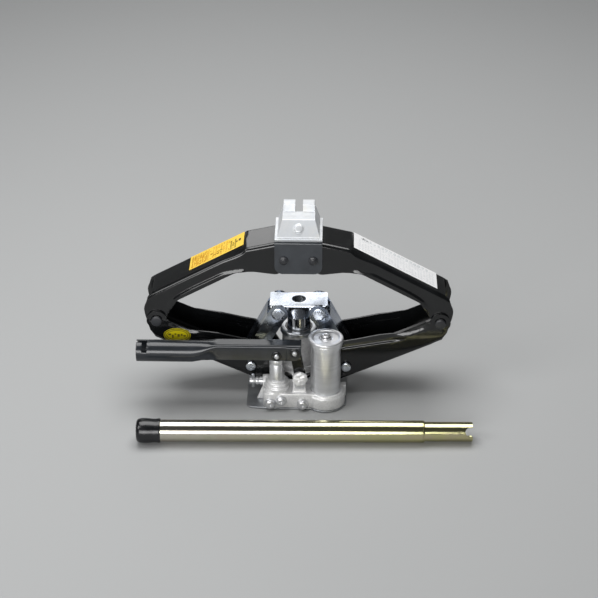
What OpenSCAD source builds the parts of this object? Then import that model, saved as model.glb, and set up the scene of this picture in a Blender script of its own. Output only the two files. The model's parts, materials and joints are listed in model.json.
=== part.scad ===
// Hydraulic scissor jack: two pairs of pressed channel arms, raised by a short ram through a
// crosshead and two channel links, with a hand pump, an oil reservoir and a loose lever bar.
// Units are millimetres. +X runs along the jack, -Y faces the viewer, +Z is up. The origin lies
// on the ground under the ram. Arms stand at their rest angle, and every joint works from there.

/* [Linkage] */
// Distance between the two pins of each arm
arm_pitch = 180; // [150:1:210]
// Angle of the arms to the ground at rest
rest_angle = 28.6; // [12:0.1:48]
// Distance of each base pivot and each saddle pivot from the middle
pivot_x = 18; // [14:0.5:24]
// Height of the base pivots over the ground
base_pivot_z = 16; // [14:0.5:22]
// Distance of the link pin from the base pivot, along the lower arm
link_pin_reach = 47.5; // [40:0.5:56]
// Distance of each crosshead bolt from the middle
cross_bolt_x = 25; // [20:0.5:30]
// Height of the crosshead bolts at rest
cross_bolt_z = 107.2; // [95:0.1:120]

/* [Arms] */
// Thickness of the upper arms' sheet
upper_sheet = 2.8; // [2:0.1:4]
// Half the outer width of the upper arms
upper_half = 26.8; // [24:0.1:30]
// Thickness of the lower arms' sheet
lower_sheet = 3; // [2:0.1:4]
// Side gap between nested sheets
side_gap = 0.3; // [0.2:0.05:0.5]
// Depth by which the lower arms' flanges are eased inside, beyond the bottom sheet
flange_ease = 0.1; // [0.05:0.01:0.2]
// Outer bend radius of the arms' long edges
bend_radius = 5; // [3:0.5:8]
// Distance of the upper arm's top sheet from its pin line
upper_web_offset = 34; // [28:0.5:38]
// Distance of the upper arm's flange edge from its pin line
upper_edge_offset = 12; // [6:0.5:16]
// Start of the upper arm's top sheet, from the elbow pin
upper_web_start = 12; // [8:0.5:20]
// Place along the upper arm where its top sheet bends down
upper_knee = 145; // [130:1:155]
// Downward slope of the top sheet beyond that bend
upper_knee_slope = 16; // [8:0.5:20]
// Distance from the saddle pivot to the end of the top sheet
upper_web_end = 0.6; // [0:0.1:6]
// Radius of the flange ends round the elbow pins
elbow_radius = 12.6; // [11:0.1:15]
// Offset of the lower arm's bottom sheet from its pin line at the base end
lower_web_near = 15.8; // [12:0.2:18]
// Offset of the lower arm's bottom sheet from its pin line at the elbow end
lower_web_far = 24; // [18:0.2:28]
// Start of the lower arm's bottom sheet, from the base pivot
lower_web_start = 36; // [32:1:50]
// End of the lower arm's bottom sheet, from the base pivot
lower_web_stop = 170; // [150:1:174]
// Greatest height of the lower arm's flanges over its pin line
lower_crown = 33; // [24:0.5:38]
// Depth of the pressed lines in the flanges
press_depth = 0.7; // [0.3:0.1:1.2]
// Width of the pressed lines in the flanges
press_width = 1.4; // [0.8:0.1:2.5]

/* [Pins] */
// Radius of the base pivot pins
base_pin_radius = 6; // [4:0.1:8]
// Radius of the elbow pins
elbow_pin_radius = 5.5; // [4:0.1:8]
// Radius of the saddle pivot pins
saddle_pin_radius = 5; // [4:0.1:7]
// Radius of the link pins
link_pin_radius = 5; // [4:0.1:7]
// Radius of the crosshead bolts
cross_bolt_radius = 5; // [4:0.1:6]
// Height of the pin heads
pin_head_height = 3; // [2:0.1:5]
// Gap between a lower arm and the heads of its base pivot pin
pin_seat = 0.2; // [0.1:0.05:0.5]
// Radial clearance of a pin in its hole
pin_clearance = 0.05; // [0.02:0.01:0.1]
// Extra radius of the link's lower hole, which frees the link's opened pivot
link_slot_clearance = 2.9; // [2.5:0.1:3.5]

/* [Saddle gears] */
// Number of teeth that a full circle of the arms' toothed ends would have
gear_count = 12; // [12:2:16]
// Height of a tooth over the pitch circle
tooth_addendum = 2.2; // [1.5:0.1:3]
// Depth of a tooth space under the pitch circle
tooth_dedendum = 3.2; // [2:0.1:4]
// Thickness of a tooth on the pitch circle, as a share of the pitch
tooth_share = 0.4; // [0.38:0.01:0.47]
// Pressure angle of the straight tooth flanks
tooth_flank_angle = 24; // [18:1:28]

/* [Saddle] */
// Half the width of the bracket plates
bracket_half = 29.2; // [24:0.1:34]
// Depth of the bracket below the saddle pivots
bracket_drop = 18.7; // [15:0.1:24]
// Height of the bracket's top over the saddle pivots
bracket_rise = 24.6; // [22:0.1:30]
// Thickness of the bracket plates
bracket_plate = 3; // [2:0.1:4]
// Corner radius of the bracket plates
bracket_corner = 10; // [4:0.5:14]
// Half the width of the bracket's top strip
bracket_strip_half = 14; // [8:0.5:18]
// Thickness of the saddle's base plate
saddle_plate = 4.1; // [3:0.1:6]
// Height of the saddle's ledge over its base plate
ledge_height = 19; // [14:0.5:26]
// Height of the horns over the ledge
horn_height = 9; // [5:0.5:14]
// Half the width over the horns
horn_half = 19.4; // [15:0.1:24]
// Half the width of the saddle head at its foot
head_foot_half = 25.6; // [20:0.1:28]
// Width of the slot between the horns
horn_slot = 9.6; // [7:0.1:14]
// Depth of the slot below the ledge
horn_slot_depth = 9; // [4:0.5:14]
// Front edge of the ledge, towards the viewer
ledge_front = 13.4; // [8:0.1:18]
// Front face of the horns, behind the middle
horn_front = 9; // [6:0.1:14]
// Rear face of the horns, behind the middle
horn_rear = 24.6; // [20:0.1:28]

/* [Ram and crosshead] */
// Radius of the ram
ram_radius = 14.7; // [12:0.1:18]
// Radius of the cylinder's bore
bore_radius = 16; // [14:0.1:20]
// Outer radius of the main cylinder
cylinder_radius = 21; // [18:0.1:24]
// Radius of the gland on the main cylinder
gland_radius = 23.4; // [20:0.1:23.8]
// Height of the gland's top over the ground
gland_top = 80; // [70:0.5:82]
// Floor of the cylinder's bore over the ground
bore_floor = 26.5; // [25:0.5:32]
// Height of the piston's underside at rest
piston_z = 43.6; // [42:0.1:50]
// Height of the piston
piston_height = 8; // [6:0.5:12]
// Half the width of the crosshead's top plate
cross_half = 36; // [30:0.5:40]
// Half the depth of the crosshead
cross_depth = 17.6; // [15:0.1:19]
// Thickness of the crosshead's top plate
cross_plate = 4; // [3:0.1:6]
// Height of the crosshead's top over its bolts
cross_rise = 11.3; // [9:0.1:14]
// Depth of the crosshead below its bolts
cross_drop = 9.2; // [8:0.1:11]
// Radius of the hole in the crosshead's top
cross_hole = 9; // [6:0.1:11]

/* [Links] */
// Thickness of the links' sheet
link_sheet = 2.6; // [2:0.1:4]
// Distance of the link's outer sheet from its pin line
link_web_offset = 12; // [10.5:0.1:15]
// Radius of the link's upper end
link_top_radius = 11.8; // [9:0.1:12]
// Radius of the link's lower end
link_low_radius = 12; // [11:0.1:14]

/* [Base] */
// Thickness of the base plate
plate_thickness = 2.5; // [2:0.1:3]
// Left edge of the base plate
plate_left = 64; // [56:1:72]
// Right edge of the base plate
plate_right = 60.5; // [54:0.5:70]
// Distance from the pump block's rear face to the base plate's front edge
block_depth = 37.2; // [29.4:0.1:43.4]
// Rear edge of the base plate
plate_rear = 34; // [28:0.5:44]
// Corner radius of the base plate
plate_corner = 8; // [4:0.5:12]
// Half the width of the pivot block
block_half = 31; // [28:0.5:33]
// Height of the pivot block's top
block_top = 24; // [22:0.5:28]
// Height of the round seat of the main cylinder
seat_top = 31; // [28:0.5:34]
// Gap between the pump block and the heads of the base pivot pins
block_gap = 1.3; // [0.7:0.1:4.7]
// Left face of the pump block
pump_block_left = 43; // [38:0.5:48]
// Height of the pump block's top
pump_block_top = 22; // [18:0.5:26]
// Half the width of the bridge between the two blocks
bridge_half = 4.8; // [3:0.1:5]

/* [Reservoir] */
// Place of the reservoir's axis along the jack
reservoir_x = 34.4; // [30:0.1:38]
// Distance of the reservoir's axis from the pump block's rear face
reservoir_offset = 19; // [15.4:0.1:25.4]
// Outer radius of the reservoir's tube
reservoir_radius = 18.7; // [16:0.1:21]
// Wall of the reservoir's tube
reservoir_wall = 2; // [1:0.1:4]
// Bottom of the reservoir's tube over the ground
reservoir_low = 14; // [8:0.5:18]
// Top of the reservoir's cap over the ground
reservoir_top = 94.8; // [84:0.1:104]
// Radius of the reservoir's cap
cap_radius = 22; // [20:0.1:24]
// Radius of the casting's bulge round the reservoir
bulge_radius = 24.6; // [23:0.1:26]

/* [Pump] */
// Place of the plunger along the jack
plunger_x = -26.2; // [-30:0.1:-22]
// Distance of the pump, lever and plunger from the pump block's rear face
pump_offset = 20.9; // [15.4:0.1:25.4]
// Radius of the plunger
plunger_radius = 6; // [4:0.1:8]
// Outer radius of the pump barrel
barrel_radius = 9.2; // [8:0.1:11]
// Top of the pump barrel over the ground
barrel_top = 57; // [50:0.5:60]
// Height of the plunger's pin at rest
plunger_pin_z = 73.4; // [68:0.1:80]
// Place of the fulcrum pin along the jack at rest
fulcrum_x = -3.9; // [-8:0.1:0]
// Height of the fulcrum pin at rest
fulcrum_z = 78.2; // [72:0.1:84]
// Place of the fulcrum link's lower pin along the jack
clevis_x = 2.2; // [-2:0.1:6]
// Height of the fulcrum link's lower pin
clevis_z = 42.3; // [36:0.1:48]
// Radius of the pump's pins
pump_pin_radius = 2.6; // [2:0.1:4]
// Radius of the clevis pin
clevis_pin_radius = 3.5; // [2.5:0.1:5]
// Extra radius of the plunger's eye, which frees the plunger's opened pivot
eye_slot_clearance = 0.9; // [0.8:0.05:1.5]
// Half the thickness of the fulcrum link
link_bar_half = 6.2; // [4:0.1:6.8]

/* [Lever] */
// Height of the socket's axis over the ground
socket_z = 74; // [70:0.1:78]
// Outer radius of the lever's socket
socket_radius = 13.6; // [12:0.1:15]
// Radius of the socket's bore
socket_bore = 12.2; // [11:0.1:13]
// Left end of the socket
socket_left = -199.5; // [-220:0.5:-180]
// Right end of the round part of the socket
socket_right = -133.5; // [-150:0.5:-120]
// Left end of the lever's channel
channel_left = -97.5; // [-110:0.5:-85]
// Right end of the lever's channel
channel_right = 4; // [0:0.1:8]
// Half the outer width of the lever's channel
channel_half = 9.6; // [8:0.1:11]
// Thickness of the lever's sheet
lever_sheet = 2.5; // [1.5:0.1:3]
// Bottom edge of the lever's channel over the ground
channel_low = 67; // [62:0.5:70]
// Width of the bayonet slot in the socket
bayonet_width = 6.2; // [4:0.1:8]
// Length of the bayonet slot along the socket
bayonet_length = 13.2; // [9:0.1:18]
// Step at the inner end of the socket's bore, where the bar stops
neck_step = 0.4; // [0.2:0.1:1]

/* [Release valve] */
// Distance of the release valve from the pump block's rear face
valve_offset = 8.9; // [7.4:0.1:11.4]
// Height of the release valve's axis
valve_z = 24.5; // [20:0.1:28]
// Radius of the release valve's stem
valve_radius = 5; // [4:0.1:6]
// Outer end of the release valve's stem
valve_tip = -61; // [-66:0.5:-56]
// Half the length of the release valve's cross pin
valve_pin_half = 9; // [6:0.1:9.2]

/* [Lever bar] */
// Radius of the lever bar's main tube
bar_radius = 13.6; // [12:0.1:16]
// Wall of the lever bar's tubes
bar_wall = 1.6; // [1:0.1:2.4]
// Radius of the bar's narrow end
bar_end_radius = 12; // [10:0.1:12.1]
// Left end of the bar's main tube
bar_left = -190; // [-210:0.5:-170]
// Right end of the bar's main tube
bar_shoulder = 153; // [120:0.5:180]
// Right end of the bar's narrow tube
bar_right = 213; // [180:0.5:240]
// Distance of the bar's axis from the base plate's front edge, towards the viewer
bar_distance = 70.2; // [38.2:0.1:98.2]
// Angle of the loose bar to the jack, seen from above
bar_turn = 1.3; // [0:0.1:10]
// Roll of the bar's notch from level
bar_roll = 30; // [0:1:90]
// Radius of the rubber cap
bar_cap_radius = 15.2; // [14:0.1:18]
// Length of the rubber cap
bar_cap_length = 30; // [20:0.5:44]
// Width of the notch in the bar's end
bar_notch = 10.6; // [6:0.1:14]
// Depth of the notch in the bar's end
bar_notch_depth = 9; // [5:0.1:16]

/* [Labels] */
// Thickness of the labels
label_thickness = 0.3; // [0.2:0.05:0.5]
// Length of the warning label
warning_length = 77; // [50:1:90]
// Width of the warning label
warning_width = 34; // [20:0.5:40]
// Distance of the warning label's outer end from the elbow pin
warning_start = 65; // [50:1:80]
// Length of the instruction label
instruction_length = 118; // [80:1:125]
// Width of the instruction label
instruction_width = 40; // [24:0.5:42]
// Distance of the instruction label's outer end from the elbow pin
instruction_start = 24; // [18:1:50]
// Shift of both labels towards the rear
label_shift = -6; // [-8:0.5:4]
// Distance of the oval sticker's centre from the elbow pin, inwards
sticker_in = 25; // [20:0.5:32]
// Distance of the oval sticker's centre from the elbow pin, downwards
sticker_down = 20.7; // [18:0.1:28]
// Half the length of the oval sticker
sticker_half_length = 17; // [10:0.5:20]
// Half the height of the oval sticker
sticker_half_height = 10; // [6:0.5:11]

/* [Hidden] */
$fn = 64;
eps = 0.01;
elbow_x = pivot_x + arm_pitch * cos(rest_angle);
elbow_z = base_pivot_z + arm_pitch * sin(rest_angle);
saddle_z = base_pivot_z + 2 * arm_pitch * sin(rest_angle);
upper_inner = upper_half - upper_sheet;
lower_inner = upper_half + side_gap;
lower_half = lower_inner + lower_sheet;
bracket_inner = lower_inner;
bracket_outer = bracket_inner + bracket_plate;
base_pin_face = lower_half + pin_seat;
pump_block_rear = base_pin_face + pin_head_height + block_gap;
plate_front = pump_block_rear + block_depth;
reservoir_y = -(pump_block_rear + reservoir_offset);
pump_y = -(pump_block_rear + pump_offset);
valve_y = -(pump_block_rear + valve_offset);
bar_y = -(plate_front + bar_distance);
link_x = pivot_x + link_pin_reach * cos(rest_angle);
link_z = base_pivot_z + link_pin_reach * sin(rest_angle);
link_length = norm([link_x - cross_bolt_x, cross_bolt_z - link_z]);
link_angle = atan2(link_x - cross_bolt_x, cross_bolt_z - link_z);
link_inner = cross_depth + side_gap;
link_outer = link_inner + link_sheet;
bolt_face = upper_inner - side_gap;
head_z = saddle_z + bracket_rise + saddle_plate;
ledge_z = head_z + ledge_height;
horn_z = ledge_z + horn_height;
cross_top = cross_bolt_z + cross_rise;
cross_low = cross_bolt_z - cross_drop;
cylinder_top = gland_top - 6 * cross_plate / 4;
piston_radius = bore_radius - pin_clearance;
gear_root = pivot_x - tooth_dedendum;
gear_tip = pivot_x + tooth_addendum;
gear_step = 360 / gear_count;
tooth_half = tooth_share * PI * pivot_x / gear_count;
channel_top = socket_z + socket_radius;
bar_tilt = atan2(bar_cap_radius - bar_radius, bar_shoulder - bar_left + 4 - bar_cap_length);

// Rounded polygons: each corner is [x, y, radius].
function unit(v) = v / norm(v);
function corner_arc(a, p, b, r, n) =
  let(u = unit(a - p), v = unit(b - p), open = acos(max(-1, min(1, u * v))),
      t = min(r / tan(open / 2), 0.48 * min(norm(a - p), norm(b - p))),
      q = t * tan(open / 2), c = p + unit(u + v) * q / sin(open / 2),
      s = p + u * t - c, e = p + v * t - c,
      a0 = atan2(s[1], s[0]), d0 = atan2(e[1], e[0]) - a0,
      d = d0 > 180 ? d0 - 360 : (d0 < -180 ? d0 + 360 : d0))
  [for (i = [0 : n]) c + q * [cos(a0 + d * i / n), sin(a0 + d * i / n)]];
function xy(v) = [v[0], v[1]];
function rounded(v, n = 6) = [for (i = [0 : len(v) - 1])
  let(a = xy(v[(i + len(v) - 1) % len(v)]), p = xy(v[i]), b = xy(v[(i + 1) % len(v)]), r = v[i][2])
  each (r > 0 ? corner_arc(a, p, b, r, n) : [p])];

// A pin or hole along Y, centred on y.
module pin_y(x, z, r, length, y = 0) {
  translate([x, y, z]) rotate([90, 0, 0]) cylinder(h = length, r = r, center = true);
}

// A low domed head on a pin, from the face at y outwards. The side is -1 for the front.
module head_y(x, z, r, h, y, side) {
  translate([x, y, z]) rotate([-side * 90, 0, 0]) {
    cylinder(h = h * 0.55, r = r);
    translate([0, 0, h * 0.55]) cylinder(h = h * 0.45, r1 = r, r2 = r * 0.66);
  }
}

// A plate in the XZ plane between two y values.
module plate_xz(y0, y1) {
  translate([0, y1, 0]) rotate([90, 0, 0]) linear_extrude(height = y1 - y0) children();
}

// Places an upper arm, whose own x runs from the elbow pin to the saddle pin.
module upper_place() {
  translate([-elbow_x, 0, elbow_z]) rotate([0, -rest_angle, 0]) children();
}

// Places the right lower arm, whose own x runs from the base pin to the elbow pin.
module lower_place() {
  translate([pivot_x, 0, base_pivot_z]) rotate([0, -rest_angle, 0]) children();
}

module left_of() {
  mirror([1, 0, 0]) children();
}

// A long bar with two rounded upper edges, open downwards. Its top is at height top.
module edged_bar(half, top, r, x0, x1, low) {
  translate([x0, 0, 0]) rotate([90, 0, 90]) linear_extrude(height = x1 - x0) union() {
    translate([-half, low]) square([2 * half, top - r - low]);
    translate([-half + r, low]) square([2 * half - 2 * r, top - low]);
    translate([-half + r, top - r]) circle(r = r);
    translate([half - r, top - r]) circle(r = r);
  }
}

// The room inside such a bar. Its two upper edges are cut off flat.
module hollow_bar(half, top, edge, x0, x1, low) {
  translate([x0, 0, 0]) rotate([90, 0, 90]) linear_extrude(height = x1 - x0) polygon([
    [-half, low], [half, low], [half, top - edge], [half - edge, top], [edge - half, top],
    [-half, top - edge]]);
}

// Saddle gear teeth round the saddle pin, pointing along angle a.
module tooth(a) {
  root_half = tooth_half + tooth_dedendum * tan(tooth_flank_angle);
  tip_half = tooth_half - tooth_addendum * tan(tooth_flank_angle);
  rotate(a) polygon([[gear_root * 0.7, -root_half], [gear_root, -root_half],
    [gear_tip, -tip_half], [gear_tip, tip_half],
    [gear_root, root_half], [gear_root * 0.7, root_half]]);
}

// Outline of the upper arm's flange in its own plane.
module upper_profile(shift) {
  union() {
    circle(r = elbow_radius - side_gap);
    polygon(rounded([
      [-6, -4, 0],
      [4, -elbow_radius * 0.92, 0],
      [14, -1, 6],
      [36, upper_edge_offset, 14],
      [arm_pitch - 60, upper_edge_offset, 24],
      [arm_pitch - 40, 1.5, 14],
      [arm_pitch - 18, -gear_root + 0.4, 12],
      [arm_pitch, -gear_root + 0.6, 0],
      [arm_pitch + gear_root * 0.9, 5, 2],
      [arm_pitch + 3, upper_web_offset - (arm_pitch - upper_knee + 3) * tan(upper_knee_slope), 4],
      [upper_knee, upper_web_offset, 20],
      [upper_web_start - 6, upper_web_offset, 9],
      [-8, 24, 12],
      [-elbow_radius * 0.9, 4, 4]
    ]));
    translate([arm_pitch, 0]) {
      circle(r = gear_root);
      for (i = [-1 : 1]) tooth(-rest_angle + (i + shift) * gear_step);
      if (shift > 0) tooth(-rest_angle - (1 + shift) * gear_step);
    }
  }
}

// The two straight runs of the top sheet, with all that lies under them.
module upper_skin() {
  intersection() {
    edged_bar(upper_half, upper_web_offset, bend_radius, -arm_pitch, 2 * arm_pitch, -arm_pitch);
    translate([upper_knee, 0, upper_web_offset]) rotate([0, upper_knee_slope, 0])
      edged_bar(upper_half, 0, bend_radius, -2 * arm_pitch, arm_pitch, -2 * arm_pitch);
  }
}

// The room under the top sheet.
module upper_room() {
  edge = bend_radius - upper_sheet;
  intersection() {
    hollow_bar(upper_inner, upper_web_offset - upper_sheet, edge, -arm_pitch, 2 * arm_pitch,
      -arm_pitch);
    translate([upper_knee, 0, upper_web_offset]) rotate([0, upper_knee_slope, 0])
      hollow_bar(upper_inner, -upper_sheet, edge, -2 * arm_pitch, arm_pitch, -2 * arm_pitch);
  }
}

// One pressed upper arm. The shift turns the teeth by part of a pitch.
module upper_arm(shift) {
  upper_place() difference() {
    intersection() {
      rotate([90, 0, 0]) linear_extrude(height = 4 * upper_half, center = true)
        upper_profile(shift);
      upper_skin();
    }
    upper_room();
    // The top sheet stops short of the elbow and of the saddle.
    translate([-4 * elbow_radius, -upper_inner, -arm_pitch])
      cube([4 * elbow_radius + upper_web_start, 2 * upper_inner, 2 * arm_pitch]);
    translate([arm_pitch + upper_web_end, -upper_inner, -arm_pitch])
      cube([arm_pitch, 2 * upper_inner, 2 * arm_pitch]);
    pin_y(0, 0, elbow_pin_radius + pin_clearance, 4 * upper_half);
    pin_y(arm_pitch, 0, saddle_pin_radius + pin_clearance, 4 * upper_half);
    // Pressed line along each flange.
    for (s = [-1, 1]) translate([40, s * upper_half - press_depth,
        upper_edge_offset + 3 * press_width])
      cube([arm_pitch - 100, 2 * press_depth, press_width]);
  }
}

// Outline of the lower arm's flange in its own plane.
module lower_profile() {
  union() {
    circle(r = elbow_radius);
    translate([arm_pitch, 0]) circle(r = elbow_radius);
    polygon(rounded([
      [-4, -elbow_radius * 0.94, 0],
      [lower_web_start - 2, -lower_web_near + 0.2, 30],
      [lower_web_stop, -lower_web_far, 5],
      [arm_pitch + 3, -17, 6],
      [arm_pitch + elbow_radius * 0.98, 0, 3],
      [arm_pitch + 2, elbow_radius * 0.98, 2],
      [arm_pitch - 14, 5.2, 8],
      [arm_pitch - 43, 7.3, 30],
      [arm_pitch - 76, 19.5, 40],
      [77, 27, 40],
      [58, lower_crown, 16],
      [36, lower_crown - 3, 16],
      [6, elbow_radius * 0.96, 10],
      [-6, elbow_radius * 0.8, 0]
    ]));
  }
}

module lower_web_frame() {
  slope = atan2(lower_web_far - lower_web_near, lower_web_stop - 43);
  translate([lower_web_stop, 0, -lower_web_far]) rotate([0, slope, 0]) mirror([0, 0, 1])
    children();
}

// One pressed lower arm, on the right. The left one is its mirror image.
module lower_arm() {
  lower_place() difference() {
    intersection() {
      rotate([90, 0, 0]) linear_extrude(height = 4 * lower_half, center = true) lower_profile();
      lower_web_frame() edged_bar(lower_half, 0, bend_radius, -2 * arm_pitch, arm_pitch,
        -arm_pitch);
    }
    lower_web_frame() hollow_bar(lower_inner, -lower_sheet, bend_radius - lower_sheet,
      -2 * arm_pitch, arm_pitch, -arm_pitch);
    // Beyond the bottom sheet's ends the flanges are eased a little.
    translate([-arm_pitch, -lower_inner - flange_ease, -arm_pitch])
      cube([arm_pitch + lower_web_start, 2 * lower_inner + 2 * flange_ease, 2 * arm_pitch]);
    translate([lower_web_stop, -lower_inner - flange_ease, -arm_pitch])
      cube([arm_pitch, 2 * lower_inner + 2 * flange_ease, 2 * arm_pitch]);
    pin_y(0, 0, base_pin_radius + pin_clearance, 4 * lower_half);
    pin_y(arm_pitch, 0, elbow_pin_radius + pin_clearance, 4 * lower_half);
    pin_y(link_pin_reach, 0, link_pin_radius + pin_clearance, 4 * lower_half);
    for (s = [-1, 1]) translate([62, s * lower_half, 20.5]) rotate([0, 18.3, 0])
      translate([0, -press_depth, -press_width / 2])
        cube([66, 2 * press_depth, press_width]);
  }
}

// A headed pin across the jack, flush heads outside the faces at +-face.
module headed_pin(x, z, r, face, head_r, head_h) {
  pin_y(x, z, r, 2 * face);
  for (s = [-1, 1]) head_y(x, z, head_r, head_h, s * face, s);
}

// A spacer tube round a pin, from y0 to y1 on each side.
module spacer_pair(x, z, r_in, r_out, y0, y1) {
  for (s = [-1, 1]) difference() {
    pin_y(x, z, r_out, y1 - y0, s * (y0 + y1) / 2);
    pin_y(x, z, r_in, y1 - y0 + 1, s * (y0 + y1) / 2);
  }
}

module lower_arm_right() {
  color("#26282c") lower_arm();
}

module lower_arm_left() {
  color("#26282c") left_of() lower_arm();
}

module elbow_pin_right() {
  color("#303236") headed_pin(elbow_x, elbow_z, elbow_pin_radius, lower_half, 1.18 *
    elbow_pin_radius, pin_head_height);
}

module elbow_pin_left() {
  color("#303236") headed_pin(-elbow_x, elbow_z, elbow_pin_radius, lower_half, 1.18 *
    elbow_pin_radius, pin_head_height);
}

module elbow_tube(x) {
  difference() {
    pin_y(x, elbow_z, 1.55 * elbow_pin_radius, 2 * upper_inner);
    pin_y(x, elbow_z, elbow_pin_radius + pin_clearance, 2 * upper_half);
  }
}

module elbow_tube_left() {
  color("#8d9094") elbow_tube(-elbow_x);
}

module elbow_tube_right() {
  color("#8d9094") elbow_tube(elbow_x);
}

module link_pin(x) {
  headed_pin(x, link_z, link_pin_radius, lower_half, 1.22 * link_pin_radius, pin_head_height);
}

module link_pin_left() {
  color("#c9cdd2") link_pin(-link_x);
}

module link_pin_right() {
  color("#c9cdd2") link_pin(link_x);
}

module link_spacers_left() {
  color("#a9adb2") spacer_pair(-link_x, link_z, link_pin_radius + pin_clearance,
    1.5 * link_pin_radius, link_outer + side_gap, lower_inner);
}

module link_spacers_right() {
  color("#a9adb2") spacer_pair(link_x, link_z, link_pin_radius + pin_clearance,
    1.5 * link_pin_radius, link_outer + side_gap, lower_inner);
}

module upper_arm_left() {
  color("#26282c") upper_arm(0);
}

module upper_arm_right() {
  color("#26282c") left_of() upper_arm(0.5);
}

module upper_label(start, length, width) {
  upper_place() translate([start, label_shift + 0.5 * (upper_half - bend_radius) - width / 2 -
      0.28 * (width - warning_width) + 1, upper_web_offset])
    cube([length, width, label_thickness]);
}

module warning_label() {
  color("#e8c21e") upper_label(warning_start, warning_length, warning_width);
}

module instruction_label() {
  color("#eceff0") left_of()
    upper_label(instruction_start, instruction_length, instruction_width);
}

module round_sticker() {
  color("#b9bf2c") left_of() translate([elbow_x - sticker_in, -lower_half, elbow_z - sticker_down])
    rotate([90, 0, 0]) linear_extrude(height = label_thickness)
      scale([sticker_half_length / sticker_half_height, 1]) circle(r = sticker_half_height);
}

// Saddle.
module bracket_plate_shape() {
  polygon(rounded([
    [-bracket_half, saddle_z - bracket_drop, bracket_corner],
    [bracket_half, saddle_z - bracket_drop, bracket_corner],
    [bracket_half, saddle_z + bracket_rise, 0],
    [-bracket_half, saddle_z + bracket_rise, 0]
  ], 8));
}

module saddle_bracket() {
  color("#26282c") difference() {
    union() {
      for (s = [0, 1]) mirror([0, s, 0]) plate_xz(bracket_inner, bracket_outer)
        bracket_plate_shape();
      translate([-bracket_strip_half, -bracket_outer, saddle_z + bracket_rise - 0.8 *
          bracket_plate])
        cube([2 * bracket_strip_half, 2 * bracket_outer, 0.8 * bracket_plate]);
    }
    for (s = [-1, 1])
      pin_y(s * pivot_x, saddle_z, saddle_pin_radius + pin_clearance, 4 * bracket_outer);
  }
}

// Short headed studs, so that the crosshead passes between them in the lowered jack.
module saddle_pins() {
  color("#2e3034") for (s = [-1, 1], t = [-1, 1]) {
    pin_y(s * pivot_x, saddle_z, saddle_pin_radius, bracket_outer - upper_inner,
      t * (bracket_outer + upper_inner) / 2);
    head_y(s * pivot_x, saddle_z, 1.15 * saddle_pin_radius, 0.8 * pin_head_height,
      t * bracket_outer, t);
  }
}

module saddle_base() {
  color("#cfd4da") translate([-bracket_half, -bracket_outer, saddle_z + bracket_rise])
    cube([2 * bracket_half, 2 * bracket_outer, saddle_plate]);
}

module saddle_head() {
  color("#d9dee4") difference() {
    intersection() {
      rotate([90, 0, 90]) linear_extrude(height = 2 * head_foot_half, center = true)
        polygon(rounded([
          [-bracket_outer + 2.2, head_z, 0],
          [-bracket_outer + 2.2, head_z + 2, 1.5],
          [-ledge_front, ledge_z, 1.2],
          [horn_front - 0.8, ledge_z, 1],
          [horn_front, horn_z, 0.8],
          [horn_rear, horn_z, 1.5],
          [bracket_outer - 2.2, head_z + 4, 3],
          [bracket_outer - 2.2, head_z, 0]
        ], 4));
      rotate([90, 0, 0]) linear_extrude(height = 2 * bracket_outer, center = true)
        polygon(rounded([
          [-head_foot_half, head_z, 0],
          [head_foot_half, head_z, 0],
          [head_foot_half, head_z + 2.5, 2],
          [horn_half + 1.6, ledge_z - 3, 2],
          [horn_half, ledge_z + 1, 1],
          [horn_half, horn_z, 1],
          [-horn_half, horn_z, 1],
          [-horn_half, ledge_z + 1, 1],
          [-horn_half - 1.6, ledge_z - 3, 2],
          [-head_foot_half, head_z + 2.5, 2]
        ], 4));
    }
    translate([-horn_slot / 2, horn_front - 1.6, ledge_z - horn_slot_depth])
      cube([horn_slot, bracket_outer, horn_height + horn_slot_depth + 1]);
    rivet_place() translate([0, 0, -7]) cylinder(h = 9, r = 3 + pin_clearance);
  }
}

// The sloped front of the saddle head carries one round-headed rivet.
module rivet_place() {
  rise = ledge_height - 2;
  run = bracket_outer - 2.2 - ledge_front;
  translate([0, -ledge_front - run / 2, head_z + 2 + rise / 2])
    rotate([atan2(rise, run), 0, 0]) children();
}

module saddle_rivet() {
  color("#c3c8ce") rivet_place() difference() {
    union() {
      translate([0, 0, -6]) cylinder(h = 6, r = 3);
      cylinder(h = 1.4, r = 6);
      translate([0, 0, 1.4]) cylinder(h = 1.2, r1 = 6, r2 = 3.6);
    }
    translate([0, 0, 1.2]) cylinder(h = 3, r = 2);
  }
}

// Ram and crosshead.
module ram() {
  color("#d4d8dc") difference() {
    union() {
      translate([0, 0, piston_z + piston_height])
        cylinder(h = cross_low + 8 - piston_z - piston_height, r = ram_radius);
      translate([0, 0, piston_z]) cylinder(h = piston_height, r = piston_radius);
    }
    translate([0, 0, piston_z + 2.5]) difference() {
      cylinder(h = 3, r = bore_radius + 1);
      cylinder(h = 3, r = bore_radius - 2.5);
    }
  }
}

module piston_seal() {
  color("#2b2b2b") translate([0, 0, piston_z + 2.5]) difference() {
    cylinder(h = 3, r = piston_radius);
    translate([0, 0, -1]) cylinder(h = 5, r = bore_radius - 2.5);
  }
}

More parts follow.
